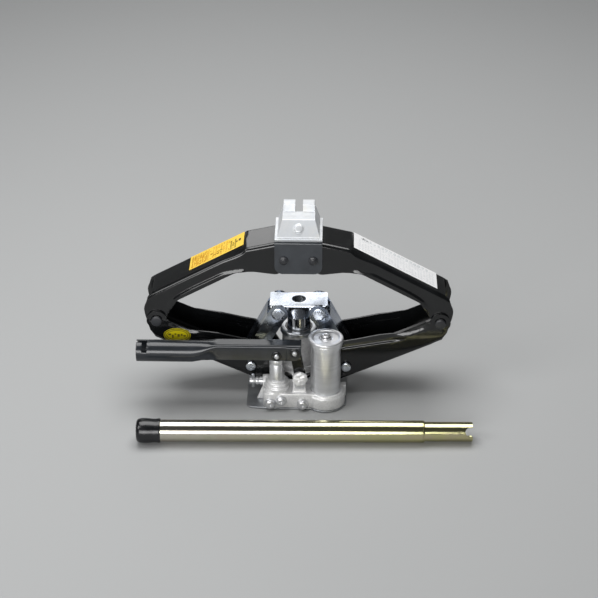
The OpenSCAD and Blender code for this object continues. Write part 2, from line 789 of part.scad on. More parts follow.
module crosshead() {
  color("#cfd4da") difference() {
    union() {
      translate([-cross_half, -cross_depth, cross_top - cross_plate])
        linear_extrude(height = cross_plate) polygon(rounded([
          [0, 0, 3], [2 * cross_half, 0, 3], [2 * cross_half, 2 * cross_depth, 3],
          [0, 2 * cross_depth, 3]]));
      translate([0, 0, cross_low]) cylinder(h = cross_top - cross_low - 1, r = cross_depth - 0.6);
      for (s = [-1, 1]) {
        translate([s * cross_bolt_x - 8.5, -cross_depth, cross_bolt_z])
          cube([17, 2 * cross_depth, cross_rise - 1]);
        pin_y(s * cross_bolt_x, cross_bolt_z, 8.5, 2 * cross_depth);
      }
      translate([-cross_bolt_x, -cross_depth + 6, cross_low + 3])
        cube([2 * cross_bolt_x, 2 * cross_depth - 12, cross_rise + 4]);
    }
    translate([0, 0, cross_low - 1]) cylinder(h = 9, r = ram_radius);
    translate([0, 0, cross_low + 10]) cylinder(h = 2 * cross_rise, r = cross_hole);
    for (s = [-1, 1])
      pin_y(s * cross_bolt_x, cross_bolt_z, cross_bolt_radius + pin_clearance, 3 * cross_depth);
  }
}

module crosshead_bolts() {
  color("#c3c7cc") for (s = [-1, 1]) {
    pin_y(s * cross_bolt_x, cross_bolt_z, cross_bolt_radius, 2 * link_outer);
    translate([s * cross_bolt_x, -link_outer, cross_bolt_z]) rotate([90, 0, 0]) {
      cylinder(h = 1, r = 1.36 * cross_bolt_radius);
      cylinder(h = bolt_face - link_outer, r = 1.24 * cross_bolt_radius, $fn = 6);
    }
  }
}

module crosshead_nuts() {
  color("#c3c7cc") for (s = [-1, 1]) translate([s * cross_bolt_x, link_outer, cross_bolt_z])
    rotate([-90, 0, 0]) {
      cylinder(h = 1, r = 1.5 * cross_bolt_radius);
      cylinder(h = bolt_face - link_outer, r = 1.4 * cross_bolt_radius, $fn = 6);
    }
}

// One channel link, on the right: from the crosshead bolt down and outwards to the link pin.
module link_channel() {
  translate([cross_bolt_x, 0, cross_bolt_z]) rotate([0, -link_angle, 0]) difference() {
    union() {
      for (s = [0, 1]) mirror([0, s, 0]) plate_xz(link_inner, link_outer) union() {
        circle(r = link_top_radius);
        translate([0, -link_length]) circle(r = link_low_radius);
        polygon(rounded([
          [-link_top_radius * 0.9, -4, 0],
          [link_top_radius * 0.86, 4, 0],
          [link_web_offset, -7, 3],
          [link_web_offset, -link_length + 2, 4],
          [link_low_radius * 0.7, -link_length - link_low_radius * 0.6, 0],
          [-link_low_radius * 0.95, -link_length + 2, 0],
          [-link_top_radius * 0.75, -link_length * 0.5, 20]
        ]));
      }
      translate([link_web_offset - link_sheet, -link_outer, -link_length + 1])
        cube([link_sheet, 2 * link_outer, link_length - 9]);
    }
    pin_y(0, 0, cross_bolt_radius + pin_clearance, 4 * link_outer);
    pin_y(0, -link_length, link_pin_radius + link_slot_clearance, 4 * link_outer);
  }
}

module link_right() {
  color("#c9cfd6") link_channel();
}

module link_left() {
  color("#c9cfd6") left_of() link_channel();
}

// Cylinder.
module main_cylinder() {
  color("#9ea2a6") difference() {
    translate([0, 0, block_top]) cylinder(h = cylinder_top - block_top, r = cylinder_radius);
    translate([0, 0, bore_floor]) cylinder(h = gland_top, r = bore_radius);
  }
}

module cylinder_gland() {
  color("#a7abaf") difference() {
    union() {
      translate([0, 0, cylinder_top]) cylinder(h = gland_top - cylinder_top - 1, r = gland_radius);
      translate([0, 0, gland_top - 1]) cylinder(h = 1, r1 = gland_radius, r2 = gland_radius - 1);
      translate([0, 0, cylinder_top - 3.6]) cylinder(h = 4, r = bore_radius);
    }
    translate([0, 0, cylinder_top - 5])
      cylinder(h = gland_top, r = ram_radius + pin_clearance);
    translate([0, 0, gland_top - 2.5]) cylinder(h = 3, r = ram_radius + 2.5);
  }
}

module gland_wiper() {
  color("#202124") translate([0, 0, gland_top - 2.5]) difference() {
    cylinder(h = 2.3, r = ram_radius + 2.5);
    translate([0, 0, -1]) cylinder(h = 5, r = ram_radius + pin_clearance);
  }
}

// Base.
module plate_outline(grow) {
  union() {
    polygon(rounded([
      [-plate_left, -plate_front + 3 - grow, plate_corner],
      [-pump_block_left + 6, -plate_front - grow, 20],
      [reservoir_x, -plate_front - grow, 0],
      [plate_right + grow, -plate_front + 10, 6],
      [plate_right + grow, plate_rear, plate_corner],
      [-plate_left, plate_rear, plate_corner]
    ]));
    translate([reservoir_x, reservoir_y]) circle(r = bulge_radius + 0.6);
  }
}

module base_plate() {
  color("#b9bcbf") linear_extrude(height = plate_thickness) plate_outline(0);
}

module front_bores(r, depth) {
  for (p = [[-34.4, 9], [-20.7, 13.2], [6.1, 8.6]])
    translate([p[0], -plate_front + 0.6, p[1]]) rotate([-90, 0, 0]) cylinder(h = depth, r = r);
}

module base_casting() {
  lift = plate_thickness;
  color("#b4b8bb") difference() {
    union() {
      // Pivot block and the seat of the main cylinder.
      translate([-block_half, -upper_half, lift]) cube([2 * block_half, 2 * upper_half,
        block_top - lift]);
      translate([0, 0, lift]) cylinder(h = seat_top - lift, r = cylinder_radius + 3);
      // Bridge to the pump block.
      translate([-bridge_half, -pump_block_rear - 4, lift])
        cube([2 * bridge_half, pump_block_rear - upper_half + 8, pump_block_top - lift - 2]);
      // Pump block.
      translate([0, 0, lift]) linear_extrude(height = pump_block_top - lift) polygon(rounded([
        [-pump_block_left, -plate_front + 0.6, 6],
        [reservoir_x, -plate_front + 0.6, 0],
        [reservoir_x, -pump_block_rear, 0],
        [-pump_block_left, -pump_block_rear, 4]
      ]));
      difference() {
        translate([reservoir_x, reservoir_y, lift]) {
          cylinder(h = pump_block_top - lift - 4, r = bulge_radius);
          cylinder(h = pump_block_top - lift - 0.6, r = bulge_radius - 2);
        }
        // Room for the right arm and the heads of the pivot pins.
        translate([0, -base_pin_face - pin_head_height - side_gap, 0])
          cube([reservoir_x + 2 * bulge_radius, 2 * bulge_radius, 2 * pump_block_top]);
      }
      translate([reservoir_x + 12, -pump_block_rear - 9, lift])
        cube([plate_right - reservoir_x - 12.5, 9, pump_block_top - lift - 3]);
      // Pump boss with two steps.
      translate([plunger_x, pump_y, lift]) {
        cylinder(h = 27.5 - lift, r = 15.6);
        cylinder(h = 32 - lift, r = 13.6);
        cylinder(h = 36 - lift, r = barrel_radius + 2.6);
      }
      // Clevis of the fulcrum link.
      for (s = [-1, 1]) {
        pin_y(clevis_x, clevis_z, 8, 4.6, pump_y + s * (link_bar_half + 2.7));
        plate_xz(pump_y + s * (link_bar_half + 2.7) - 2.3, pump_y + s * (link_bar_half + 2.7) + 2.3)
          polygon([[clevis_x - 8.5, pump_block_top - 3], [clevis_x + 8.5, pump_block_top - 3],
            [clevis_x + 7.2, clevis_z + 3.4], [clevis_x - 7.2, clevis_z + 3.4]]);
      }
      // Release valve boss and the rib down to the plate.
      translate([-pump_block_left - 1.5, valve_y, valve_z]) rotate([0, 90, 0])
        cylinder(h = 16, r = valve_radius + 3.5);
      plate_xz(valve_y - 8, valve_y - 4.5)
        polygon([[-pump_block_left - 9, lift], [-pump_block_left + 1, lift],
          [-pump_block_left + 1, pump_block_top - 1], [-pump_block_left - 1.2, pump_block_top - 1]]);
    }
    // Seat of the main cylinder.
    translate([0, 0, block_top]) cylinder(h = seat_top, r = cylinder_radius);
    // Base pivot bores.
    for (s = [-1, 1])
      pin_y(s * pivot_x, base_pivot_z, base_pin_radius + pin_clearance, 2 * upper_half + 6);
    // Reservoir seat, pump bore, valve bore and front bores.
    translate([reservoir_x, reservoir_y, reservoir_low])
      cylinder(h = reservoir_top, r = reservoir_radius);
    translate([plunger_x, pump_y, 28]) cylinder(h = reservoir_top, r = barrel_radius);
    translate([-pump_block_left - 3, valve_y, valve_z]) rotate([0, 90, 0])
      cylinder(h = 14, r = valve_radius + pin_clearance);
    translate([-pump_block_left - 3, valve_y, valve_z]) rotate([0, 90, 0])
      cylinder(h = 3.5, r = valve_radius + 1.6);
    front_bores(4, 21);
    for (s = [0]) pin_y(clevis_x, clevis_z, clevis_pin_radius, 40, pump_y);
  }
}

module base_pivot_pins() {
  color("#7d8084") for (s = [-1, 1]) headed_pin(s * pivot_x, base_pivot_z, base_pin_radius,
    base_pin_face, 1.3 * base_pin_radius, pin_head_height);
}

module front_plugs() {
  color("#c9cdd0") for (p = [[-34.4, 9], [-20.7, 13.2], [6.1, 8.6]])
    translate([p[0], -plate_front + 0.6, p[1]]) {
      rotate([-90, 0, 0]) cylinder(h = 8, r = 4);
      rotate([90, 0, 0]) difference() {
        union() {
          cylinder(h = 1.8, r = 6);
          translate([0, 0, 1.8]) cylinder(h = 0.8, r1 = 6, r2 = 5.2);
        }
        translate([0, 0, 0.8]) cylinder(h = 3, r = 2.6, $fn = 6);
      }
    }
}

module check_springs() {
  color("#8f9296") for (p = [[-34.4, 9], [-20.7, 13.2], [6.1, 8.6]])
    translate([p[0], -plate_front + 8.6, p[1]]) rotate([-90, 0, 0]) for (i = [0 : 3])
      translate([0, 0, 0.85 + i * 1.5]) rotate_extrude() translate([2.4, 0])
        square([1.2, 1.7], center = true);
}

module check_balls() {
  color("#c5c8cb") for (p = [[-34.4, 9], [-20.7, 13.2], [6.1, 8.6]])
    translate([p[0], -plate_front + 18.1, p[1]]) sphere(r = 3.4);
}

// Reservoir.
module reservoir_tube() {
  color("#c2c6c9") translate([reservoir_x, reservoir_y, reservoir_low]) difference() {
    cylinder(h = reservoir_top - 4.8 - reservoir_low, r = reservoir_radius);
    translate([0, 0, -1])
      cylinder(h = reservoir_top, r = reservoir_radius - reservoir_wall);
  }
}

module reservoir_cap() {
  color("#c6cacd") translate([reservoir_x, reservoir_y, reservoir_top - 4.8]) difference() {
    union() {
      cylinder(h = 3.8, r = cap_radius);
      translate([0, 0, 3.8]) cylinder(h = 1, r1 = cap_radius, r2 = cap_radius - 1);
      translate([0, 0, -3.6]) cylinder(h = 3.8, r = cap_radius - 1);
      translate([0, 0, -6.2]) cylinder(h = 2.7, r = cap_radius - 1.9);
    }
    translate([0, 0, -7]) cylinder(h = 7, r = reservoir_radius);
    translate([0, 0, 3.6]) difference() {
      cylinder(h = 3, r = cap_radius - 4.6);
      cylinder(h = 3, r = 8.4);
    }
    translate([0, 0, -1]) cylinder(h = 9, r = 4.5);
  }
}

module filler_plug() {
  color("#b7bbbe") translate([reservoir_x, reservoir_y, reservoir_top - 4.8]) difference() {
    union() {
      translate([0, 0, -3]) cylinder(h = 9, r = 4.5);
      translate([0, 0, 5.6]) cylinder(h = 2.6, r = 5.9);
      translate([0, 0, 8.2]) cylinder(h = 1, r1 = 5.9, r2 = 5);
    }
    translate([0, 0, 4.4]) cylinder(h = 9, r = 2.1);
  }
}

module filler_seal() {
  color("#202124") translate([reservoir_x, reservoir_y, reservoir_top]) difference() {
    cylinder(h = 0.8, r = 5.7);
    translate([0, 0, -1]) cylinder(h = 3, r = 4.5);
  }
}

// Pump.
module pump_barrel() {
  color("#c0c4c7") translate([plunger_x, pump_y, 28]) difference() {
    cylinder(h = barrel_top - 28, r = barrel_radius);
    translate([0, 0, 3]) cylinder(h = barrel_top, r = plunger_radius + pin_clearance);
  }
}

module pump_gland() {
  color("#caced1") translate([plunger_x, pump_y, barrel_top]) difference() {
    union() {
      cylinder(h = 3.4, r = barrel_radius);
      translate([0, 0, 3.4]) cylinder(h = 0.8, r1 = barrel_radius, r2 = barrel_radius - 1);
    }
    translate([0, 0, -1]) cylinder(h = 8, r = plunger_radius + pin_clearance);
    translate([0, 0, -1]) cylinder(h = 3, r = plunger_radius + 1.6);
  }
}

module plunger_seal() {
  color("#202124") translate([plunger_x, pump_y, barrel_top]) difference() {
    cylinder(h = 2, r = plunger_radius + 1.6);
    translate([0, 0, -1]) cylinder(h = 4, r = plunger_radius + pin_clearance);
  }
}

module pump_plunger() {
  color("#d2d6d9") difference() {
    union() {
      translate([plunger_x, pump_y, 40]) cylinder(h = plunger_pin_z - 44, r = plunger_radius);
      pin_y(plunger_x, plunger_pin_z, plunger_radius, 12, pump_y);
    }
    pin_y(plunger_x, plunger_pin_z, pump_pin_radius + eye_slot_clearance, 20, pump_y);
  }
}

module link_bar_body() {
  tilt = atan2(clevis_x - fulcrum_x, fulcrum_z - clevis_z);
  reach = norm([clevis_x - fulcrum_x, fulcrum_z - clevis_z]);
  translate([clevis_x, clevis_z]) rotate(tilt) union() {
    circle(r = 7);
    translate([0, reach]) circle(r = 6.2);
    translate([-6.2, 0]) square([12.4, reach]);
  }
}

module fulcrum_link() {
  color("#2a2c30") difference() {
    plate_xz(pump_y - link_bar_half, pump_y + link_bar_half) link_bar_body();
    pin_y(clevis_x, clevis_z, clevis_pin_radius + pin_clearance, 30, pump_y);
    pin_y(fulcrum_x, fulcrum_z, pump_pin_radius + pin_clearance, 30, pump_y);
  }
}

module clevis_pin() {
  color("#b4b8bb") {
    pin_y(clevis_x, clevis_z, clevis_pin_radius, 2 * link_bar_half + 10, pump_y);
    for (s = [-1, 1]) head_y(clevis_x, clevis_z, 5.4, 2, pump_y + s * (link_bar_half + 5), s);
  }
}

module lever_pin(x, z) {
  pin_y(x, z, pump_pin_radius, 2 * channel_half + 1.6, pump_y);
  for (s = [-1, 1]) head_y(x, z, 1.25 * pump_pin_radius, 1.4, pump_y + s * (channel_half + 0.8), s);
}

module fulcrum_pin() {
  color("#c9cdd0") lever_pin(fulcrum_x, fulcrum_z);
}

module plunger_pin() {
  color("#c9cdd0") lever_pin(plunger_x, plunger_pin_z);
}

// Lever: round socket, a squeezed neck and an inverted channel over the pump.
module lever_round(x0, x1, r0, r1) {
  translate([x0, pump_y, socket_z]) rotate([0, 90, 0]) cylinder(h = x1 - x0, r1 = r0, r2 = r1);
}

// The neck between the socket and the channel, d inside its outer skin.
module lever_neck(half, top, low, r) {
  x0 = socket_right - eps;
  x1 = channel_left + eps;
  intersection() {
    lever_round(x0, x1, r, r);
    translate([0, 0, low - 2 * r]) linear_extrude(height = 6 * r) polygon([
      [x0, pump_y - r - eps], [x1, pump_y - half], [x1, pump_y + half], [x0, pump_y + r + eps]]);
    plate_xz(pump_y - 2 * r, pump_y + 2 * r) polygon([
      [x0, socket_z - r - 1], [x1, low], [x1, top], [x0, top + 1]]);
  }
  intersection() {
    translate([x0, pump_y - half, low]) cube([x1 - x0, 2 * half, top - low]);
    lever_round(x0, x1, r, 1.3 * r);
  }
}

module lever_side() {
  polygon([
    [channel_left, channel_low], [channel_right - 6, channel_low],
    [channel_right, channel_low + 8], [channel_right, channel_top],
    [channel_left, channel_top]]);
}

module pump_lever() {
  inner = channel_half - lever_sheet;
  color("#26282c") difference() {
    union() {
      lever_round(socket_left, socket_right, socket_radius, socket_radius);
      lever_neck(channel_half, channel_top, channel_low, socket_radius);
      plate_xz(pump_y - channel_half, pump_y + channel_half) lever_side();
      // The flanges step out round the fulcrum pin.
      for (s = [-1, 1]) translate([0, s * (channel_half + 0.3), 0])
        plate_xz(pump_y - 0.5, pump_y + 0.5) polygon([
          [fulcrum_x - 9, channel_low], [channel_right - 6, channel_low],
          [channel_right, channel_low + 8], [channel_right, channel_top - 2.5],
          [fulcrum_x - 6, channel_top - 2.5]]);
      for (s = [-1, 1])
        pin_y(plunger_x, plunger_pin_z, 5, 1, pump_y + s * (channel_half + 0.3));
    }
    lever_round(socket_left - 1, socket_right + eps, socket_bore, socket_bore);
    lever_neck(inner, channel_top - lever_sheet, channel_low - 1, socket_bore - neck_step);
    // The channel is open downwards, and its mouth narrows to a point under the neck.
    translate([0, 0, channel_low - 12]) linear_extrude(height = socket_z - channel_low + 12)
      polygon([[socket_right + 12, pump_y - 2.6], [channel_left + 1, pump_y - inner],
        [channel_left + 1, pump_y + inner], [socket_right + 12, pump_y + 2.6]]);
    translate([channel_left, pump_y - inner, channel_low - 1])
      cube([channel_right - channel_left + 1, 2 * inner,
        channel_top - channel_low - lever_sheet + 1]);
    pin_y(fulcrum_x, fulcrum_z, pump_pin_radius, 40, pump_y);
    pin_y(plunger_x, plunger_pin_z, pump_pin_radius, 40, pump_y);
    // Bayonet slot: an axial leg on top and a leg round towards the viewer.
    translate([socket_left - 1, pump_y - bayonet_width / 2, socket_z])
      cube([bayonet_length + 1, bayonet_width, socket_radius + 1]);
    translate([socket_left + bayonet_length - bayonet_width, pump_y, socket_z])
      rotate([0, 90, 0]) rotate([0, 0, 180]) rotate_extrude(angle = 72)
        translate([socket_bore - 1, 0]) square([socket_radius - socket_bore + 3, bayonet_width]);
  }
}

// Release valve.
module valve_screw() {
  color("#bfc3c6") difference() {
    translate([valve_tip, valve_y, valve_z]) rotate([0, 90, 0]) union() {
      cylinder(h = -pump_block_left - valve_tip + 9, r = valve_radius);
      cylinder(h = 9, r = valve_radius + 0.9);
    }
    translate([valve_tip + 4.5, valve_y, valve_z]) cylinder(h = 40, r = 2, center = true);
  }
}

module valve_cross_pin() {
  color("#caced1") translate([valve_tip + 4.5, valve_y, valve_z])
    cylinder(h = 2 * valve_pin_half, r = 2, center = true);
}

module valve_seal() {
  color("#202124") translate([-pump_block_left - 1.4, valve_y, valve_z]) rotate([0, 90, 0])
    difference() {
      cylinder(h = 1.9, r = valve_radius + 1.6);
      translate([0, 0, -1]) cylinder(h = 4, r = valve_radius + pin_clearance);
    }
}

// Lever bar, lying loose in front of the jack. Its own x runs along its axis.
module bar_place() {
  translate([0, bar_y, 0]) rotate([0, 0, bar_turn])
    translate([bar_shoulder, 0, bar_radius]) rotate([0, bar_tilt, 0])
      translate([-bar_shoulder, 0, 0]) rotate([-bar_roll, 0, 0]) children();
}

module bar_round(x0, x1, r) {
  translate([x0, 0, 0]) rotate([0, 90, 0]) cylinder(h = x1 - x0, r = r);
}

module bar_tube() {
  color("#d0c48c") bar_place() difference() {
    bar_round(bar_left, bar_shoulder, bar_radius);
    bar_round(bar_left - 1, bar_shoulder + 1, bar_radius - bar_wall);
  }
}

module bar_end() {
  color("#d2be7a") bar_place() difference() {
    union() {
      bar_round(bar_shoulder - 40, bar_right, bar_end_radius);
      translate([bar_shoulder + 10, 0, 0]) rotate([-115, 0, 0])
        cylinder(h = bar_end_radius + 1.3, r = 2.4);
    }
    bar_round(bar_shoulder - 41, bar_right + 1, bar_end_radius - bar_wall);
    translate([bar_right - bar_notch_depth + bar_notch / 2, 0, 0]) rotate([90, 0, 0])
      cylinder(h = 4 * bar_radius, r = bar_notch / 2, center = true);
    translate([bar_right - bar_notch_depth + bar_notch / 2, -2 * bar_radius, -bar_notch / 2])
      cube([bar_notch_depth, 4 * bar_radius, bar_notch]);
  }
}

module bar_cap() {
  color("#1d1e20") bar_place() difference() {
    union() {
      bar_round(bar_left - 1.5, bar_left - 4 + bar_cap_length, bar_cap_radius);
      translate([bar_left - 4, 0, 0]) rotate([0, 90, 0])
        cylinder(h = 2.5, r1 = bar_cap_radius - 3.4, r2 = bar_cap_radius);
    }
    bar_round(bar_left, bar_left + 2 * bar_cap_length, bar_radius);
  }
}

base_plate();
base_casting();
main_cylinder();
cylinder_gland();
gland_wiper();
base_pivot_pins();
reservoir_tube();
reservoir_cap();
filler_plug();
filler_seal();
pump_barrel();
pump_gland();
front_plugs();
check_springs();
check_balls();
clevis_pin();
valve_screw();
valve_cross_pin();
valve_seal();
pump_lever();
fulcrum_pin();
plunger_pin();
fulcrum_link();
pump_plunger();
plunger_seal();
ram();
piston_seal();
crosshead();
crosshead_bolts();
crosshead_nuts();
link_left();
link_right();
lower_arm_left();
elbow_pin_left();
link_pin_left();
link_spacers_left();
round_sticker();
lower_arm_right();
elbow_pin_right();
link_pin_right();
link_spacers_right();
upper_arm_left();
elbow_tube_left();
warning_label();
upper_arm_right();
elbow_tube_right();
instruction_label();
saddle_bracket();
saddle_pins();
saddle_base();
saddle_head();
saddle_rivet();
bar_tube();
bar_end();
bar_cap();
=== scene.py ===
"""Looks of a hydraulic scissor jack with its hand pump and its loose lever bar."""

import json
import logging
import math
from dataclasses import dataclass
from enum import Enum
from typing import Callable, ClassVar, Iterable, Optional, Sequence

import bmesh
import bpy
import numpy as np
from mathutils import Matrix, Vector, noise

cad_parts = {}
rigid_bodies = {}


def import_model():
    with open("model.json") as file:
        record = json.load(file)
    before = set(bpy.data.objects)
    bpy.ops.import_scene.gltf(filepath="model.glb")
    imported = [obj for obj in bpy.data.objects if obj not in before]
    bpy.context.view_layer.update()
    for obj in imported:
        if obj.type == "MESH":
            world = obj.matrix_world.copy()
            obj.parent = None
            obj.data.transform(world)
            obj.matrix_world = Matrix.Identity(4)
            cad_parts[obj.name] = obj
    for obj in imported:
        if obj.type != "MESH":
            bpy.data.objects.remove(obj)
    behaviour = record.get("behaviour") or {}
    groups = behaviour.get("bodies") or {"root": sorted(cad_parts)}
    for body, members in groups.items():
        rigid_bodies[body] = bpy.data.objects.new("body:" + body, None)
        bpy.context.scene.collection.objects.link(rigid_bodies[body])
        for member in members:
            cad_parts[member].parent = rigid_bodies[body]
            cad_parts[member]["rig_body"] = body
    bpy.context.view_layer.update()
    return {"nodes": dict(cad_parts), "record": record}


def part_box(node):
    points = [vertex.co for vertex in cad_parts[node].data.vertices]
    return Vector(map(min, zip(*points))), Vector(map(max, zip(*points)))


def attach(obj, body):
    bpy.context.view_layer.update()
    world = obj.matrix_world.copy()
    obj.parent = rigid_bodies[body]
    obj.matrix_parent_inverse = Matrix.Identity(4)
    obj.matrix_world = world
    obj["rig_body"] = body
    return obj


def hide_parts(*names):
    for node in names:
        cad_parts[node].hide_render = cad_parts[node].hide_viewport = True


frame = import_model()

LOG = logging.getLogger("scissor_jack")
MM = 0.001
NOISE_SEED = 35
NODE_SLOT = {row["node"]: row["material_slot"] for row in frame["record"]["subparts"]}
Socket = bpy.types.NodeSocket
Sockets = bpy.types.bpy_prop_collection
Piece = bpy.types.Object
Place = tuple[float, float, float]
Colour = tuple[float, float, float]
Line = Sequence[tuple[float, float]]
Cuts = Sequence[tuple[int, Iterable[float]]]
Skin = tuple[Socket, Socket, Socket]


class Slot(Enum):
    """The record's material slots."""

    BLACK_PAINT = "black_paint"
    BLACK_PIN = "black_pin"
    ZINC_PLATE = "zinc_plate"
    SADDLE_ZINC = "saddle_zinc"
    CAST_SILVER = "cast_silver"
    MACHINED_STEEL = "machined_steel"
    TANK_STEEL = "tank_steel"
    BASE_ZINC = "base_zinc"
    RAM_CHROME = "ram_chrome"
    SEAL_RUBBER = "seal_rubber"
    CAP_RUBBER = "cap_rubber"
    YELLOW_ZINC = "yellow_zinc"
    LABEL_YELLOW = "label_yellow"
    LABEL_WHITE = "label_white"
    STICKER_GREEN = "sticker_green"


class Side(Enum):
    """The two halves of the jack. The value is the sign of x."""

    LEFT = -1
    RIGHT = 1

    @property
    def word(self) -> str:
        """The side as the nodes' names have it."""
        return self.name.lower()


# ---------------------------------------------------------------- node graphs


def shade(red: float, green: float, blue: float) -> tuple[float, float, float, float]:
    """A colour as written on a screen, 0 to 255, turned into linear light.

    Args:
        red: Red, 0 to 255.
        green: Green, 0 to 255.
        blue: Blue, 0 to 255.

    Returns:
        Linear red, green, blue and a full alpha.
    """
    def linear(part: float) -> float:
        """One channel in linear light."""
        part /= 255
        return part / 12.92 if part <= 0.04045 else ((part + 0.055) / 1.055) ** 2.4

    return linear(red), linear(green), linear(blue), 1.0


class Graph:
    """Writes a node tree. What feeds an input is a socket or a plain value."""

    def __init__(self, tree: bpy.types.NodeTree) -> None:
        """Keeps the tree that the methods write to."""
        self.tree = tree

    def add(self, kind: str, **settings: object) -> bpy.types.Node:
        """Adds a node of that type and sets its properties."""
        made = self.tree.nodes.new(kind)
        for name, value in settings.items():
            setattr(made, name, value)
        return made

    def wire(self, source: object, target: Socket) -> None:
        """Links a socket to target, or sets target's plain value."""
        if isinstance(source, bpy.types.NodeSocket):
            self.tree.links.new(source, target)
        else:
            target.default_value = source

    def put(self, kind: str, sources: dict[object, object], **settings: object) -> Sockets:
        """Adds a node and feeds it.

        Args:
            kind: The node's type.
            sources: What feeds each input, by the input's name or number.
            settings: The node's own properties.

        Returns:
            The node's outputs.
        """
        made = self.add(kind, **settings)
        for key, source in sources.items():
            self.wire(source, made.inputs[key])
        return made.outputs

    def math(self, kind: str, first: object, second: object, clamp: bool = False) -> Socket:
        """One Math node, whose result may be kept between 0 and 1."""
        return self.put("ShaderNodeMath", {0: first, 1: second}, operation=kind,
                        use_clamp=clamp)[0]

    def vector(self, kind: str, first: object, second: object = (0, 0, 0)) -> Sockets:
        """The outputs of one Vector Math node."""
        return self.put("ShaderNodeVectorMath", {0: first, 1: second}, operation=kind)

    def spread(self, value: object, low: float, high: float, to_low: float = 0.0,
               to_high: float = 1.0, smooth: bool = False) -> Socket:
        """Maps a value from one range to another, clamped.

        Args:
            value: The socket that is mapped.
            low: Start of its own range.
            high: End of its own range.
            to_low: What the start becomes.
            to_high: What the end becomes.
            smooth: Whether the ramp is eased at both ends.

        Returns:
            The mapped value.
        """
        return self.put("ShaderNodeMapRange",
                        {0: value, 1: low, 2: high, 3: to_low, 4: to_high}, clamp=True,
                        interpolation_type="SMOOTHSTEP" if smooth else "LINEAR")[0]

    def mix(self, share: object, first: object, second: object) -> Socket:
        """The first colour with that share, 0 to 1, of the second."""
        return self.put("ShaderNodeMix", {0: share, 6: first, 7: second}, data_type="RGBA")[2]

    def noise(self, place: Socket, scale: object, detail: float, rough: float) -> Socket:
        """A noise texture's value at that place and scale."""
        return self.put("ShaderNodeTexNoise", {"Vector": place, "Scale": scale,
                                               "Detail": detail, "Roughness": rough})[0]

    def bump(self, height: Socket, depth: float, strength: float = 1.0,
             under: Optional[Socket] = None) -> Socket:
        """A bump of that depth in metres, over another normal if one is given."""
        below = {} if under is None else {"Normal": under}
        return self.put("ShaderNodeBump", {"Strength": strength, "Distance": depth,
                                           "Height": height, **below})[0]

    def coords(self) -> Socket:
        """Object coordinates."""
        return self.put("ShaderNodeTexCoord", {})["Object"]

    def normal(self) -> Socket:
        """The surface's own normal."""
        return self.put("ShaderNodeNewGeometry", {})["Normal"]

    def parts(self, vector: Socket) -> Sockets:
        """The X, Y and Z of a vector."""
        return self.put("ShaderNodeSeparateXYZ", {0: vector})

    def joined(self, x: object, y: object, z: object = 0.0) -> Socket:
        """A vector of three numbers."""
        return self.put("ShaderNodeCombineXYZ", {0: x, 1: y, 2: z})[0]


class Groups:
    """Node groups by name, each built once, at its first use, by its own method."""

    kind: ClassVar[str] = "ShaderNodeTree"
    result: ClassVar[str] = "NodeSocketFloat"
    built: ClassVar[dict[str, bpy.types.NodeTree]] = {}
    socket_types: ClassVar[dict[type, str]] = {
        float: "NodeSocketFloat", int: "NodeSocketInt", tuple: "NodeSocketVector"}

    @classmethod
    def start(cls, name: str, inputs: dict[str, object], *outputs: str
              ) -> tuple[Graph, Sockets, Sockets]:
        """Starts a group.

        Args:
            name: The group's name.
            inputs: The first value of each input, or the type of one that has none.
            outputs: The outputs' names.

        Returns:
            The graph, what it is given and what it gives out.
        """
        tree = bpy.data.node_groups.new(name, cls.kind)
        for label, value in inputs.items():
            bare = isinstance(value, str)
            made = tree.interface.new_socket(
                label, in_out="INPUT", socket_type=value if bare else cls.socket_types[type(value)])
            if not bare:
                made.default_value = value
        for label in outputs:
            tree.interface.new_socket(label, in_out="OUTPUT", socket_type=cls.result)
        cls.built[name] = tree
        graph = Graph(tree)
        return graph, graph.add("NodeGroupInput").outputs, graph.add("NodeGroupOutput").inputs

    @classmethod
    def group(cls, name: str) -> bpy.types.NodeTree:
        """The group of that name."""
        if name not in cls.built:
            getattr(cls, "_" + name)()
        return cls.built[name]


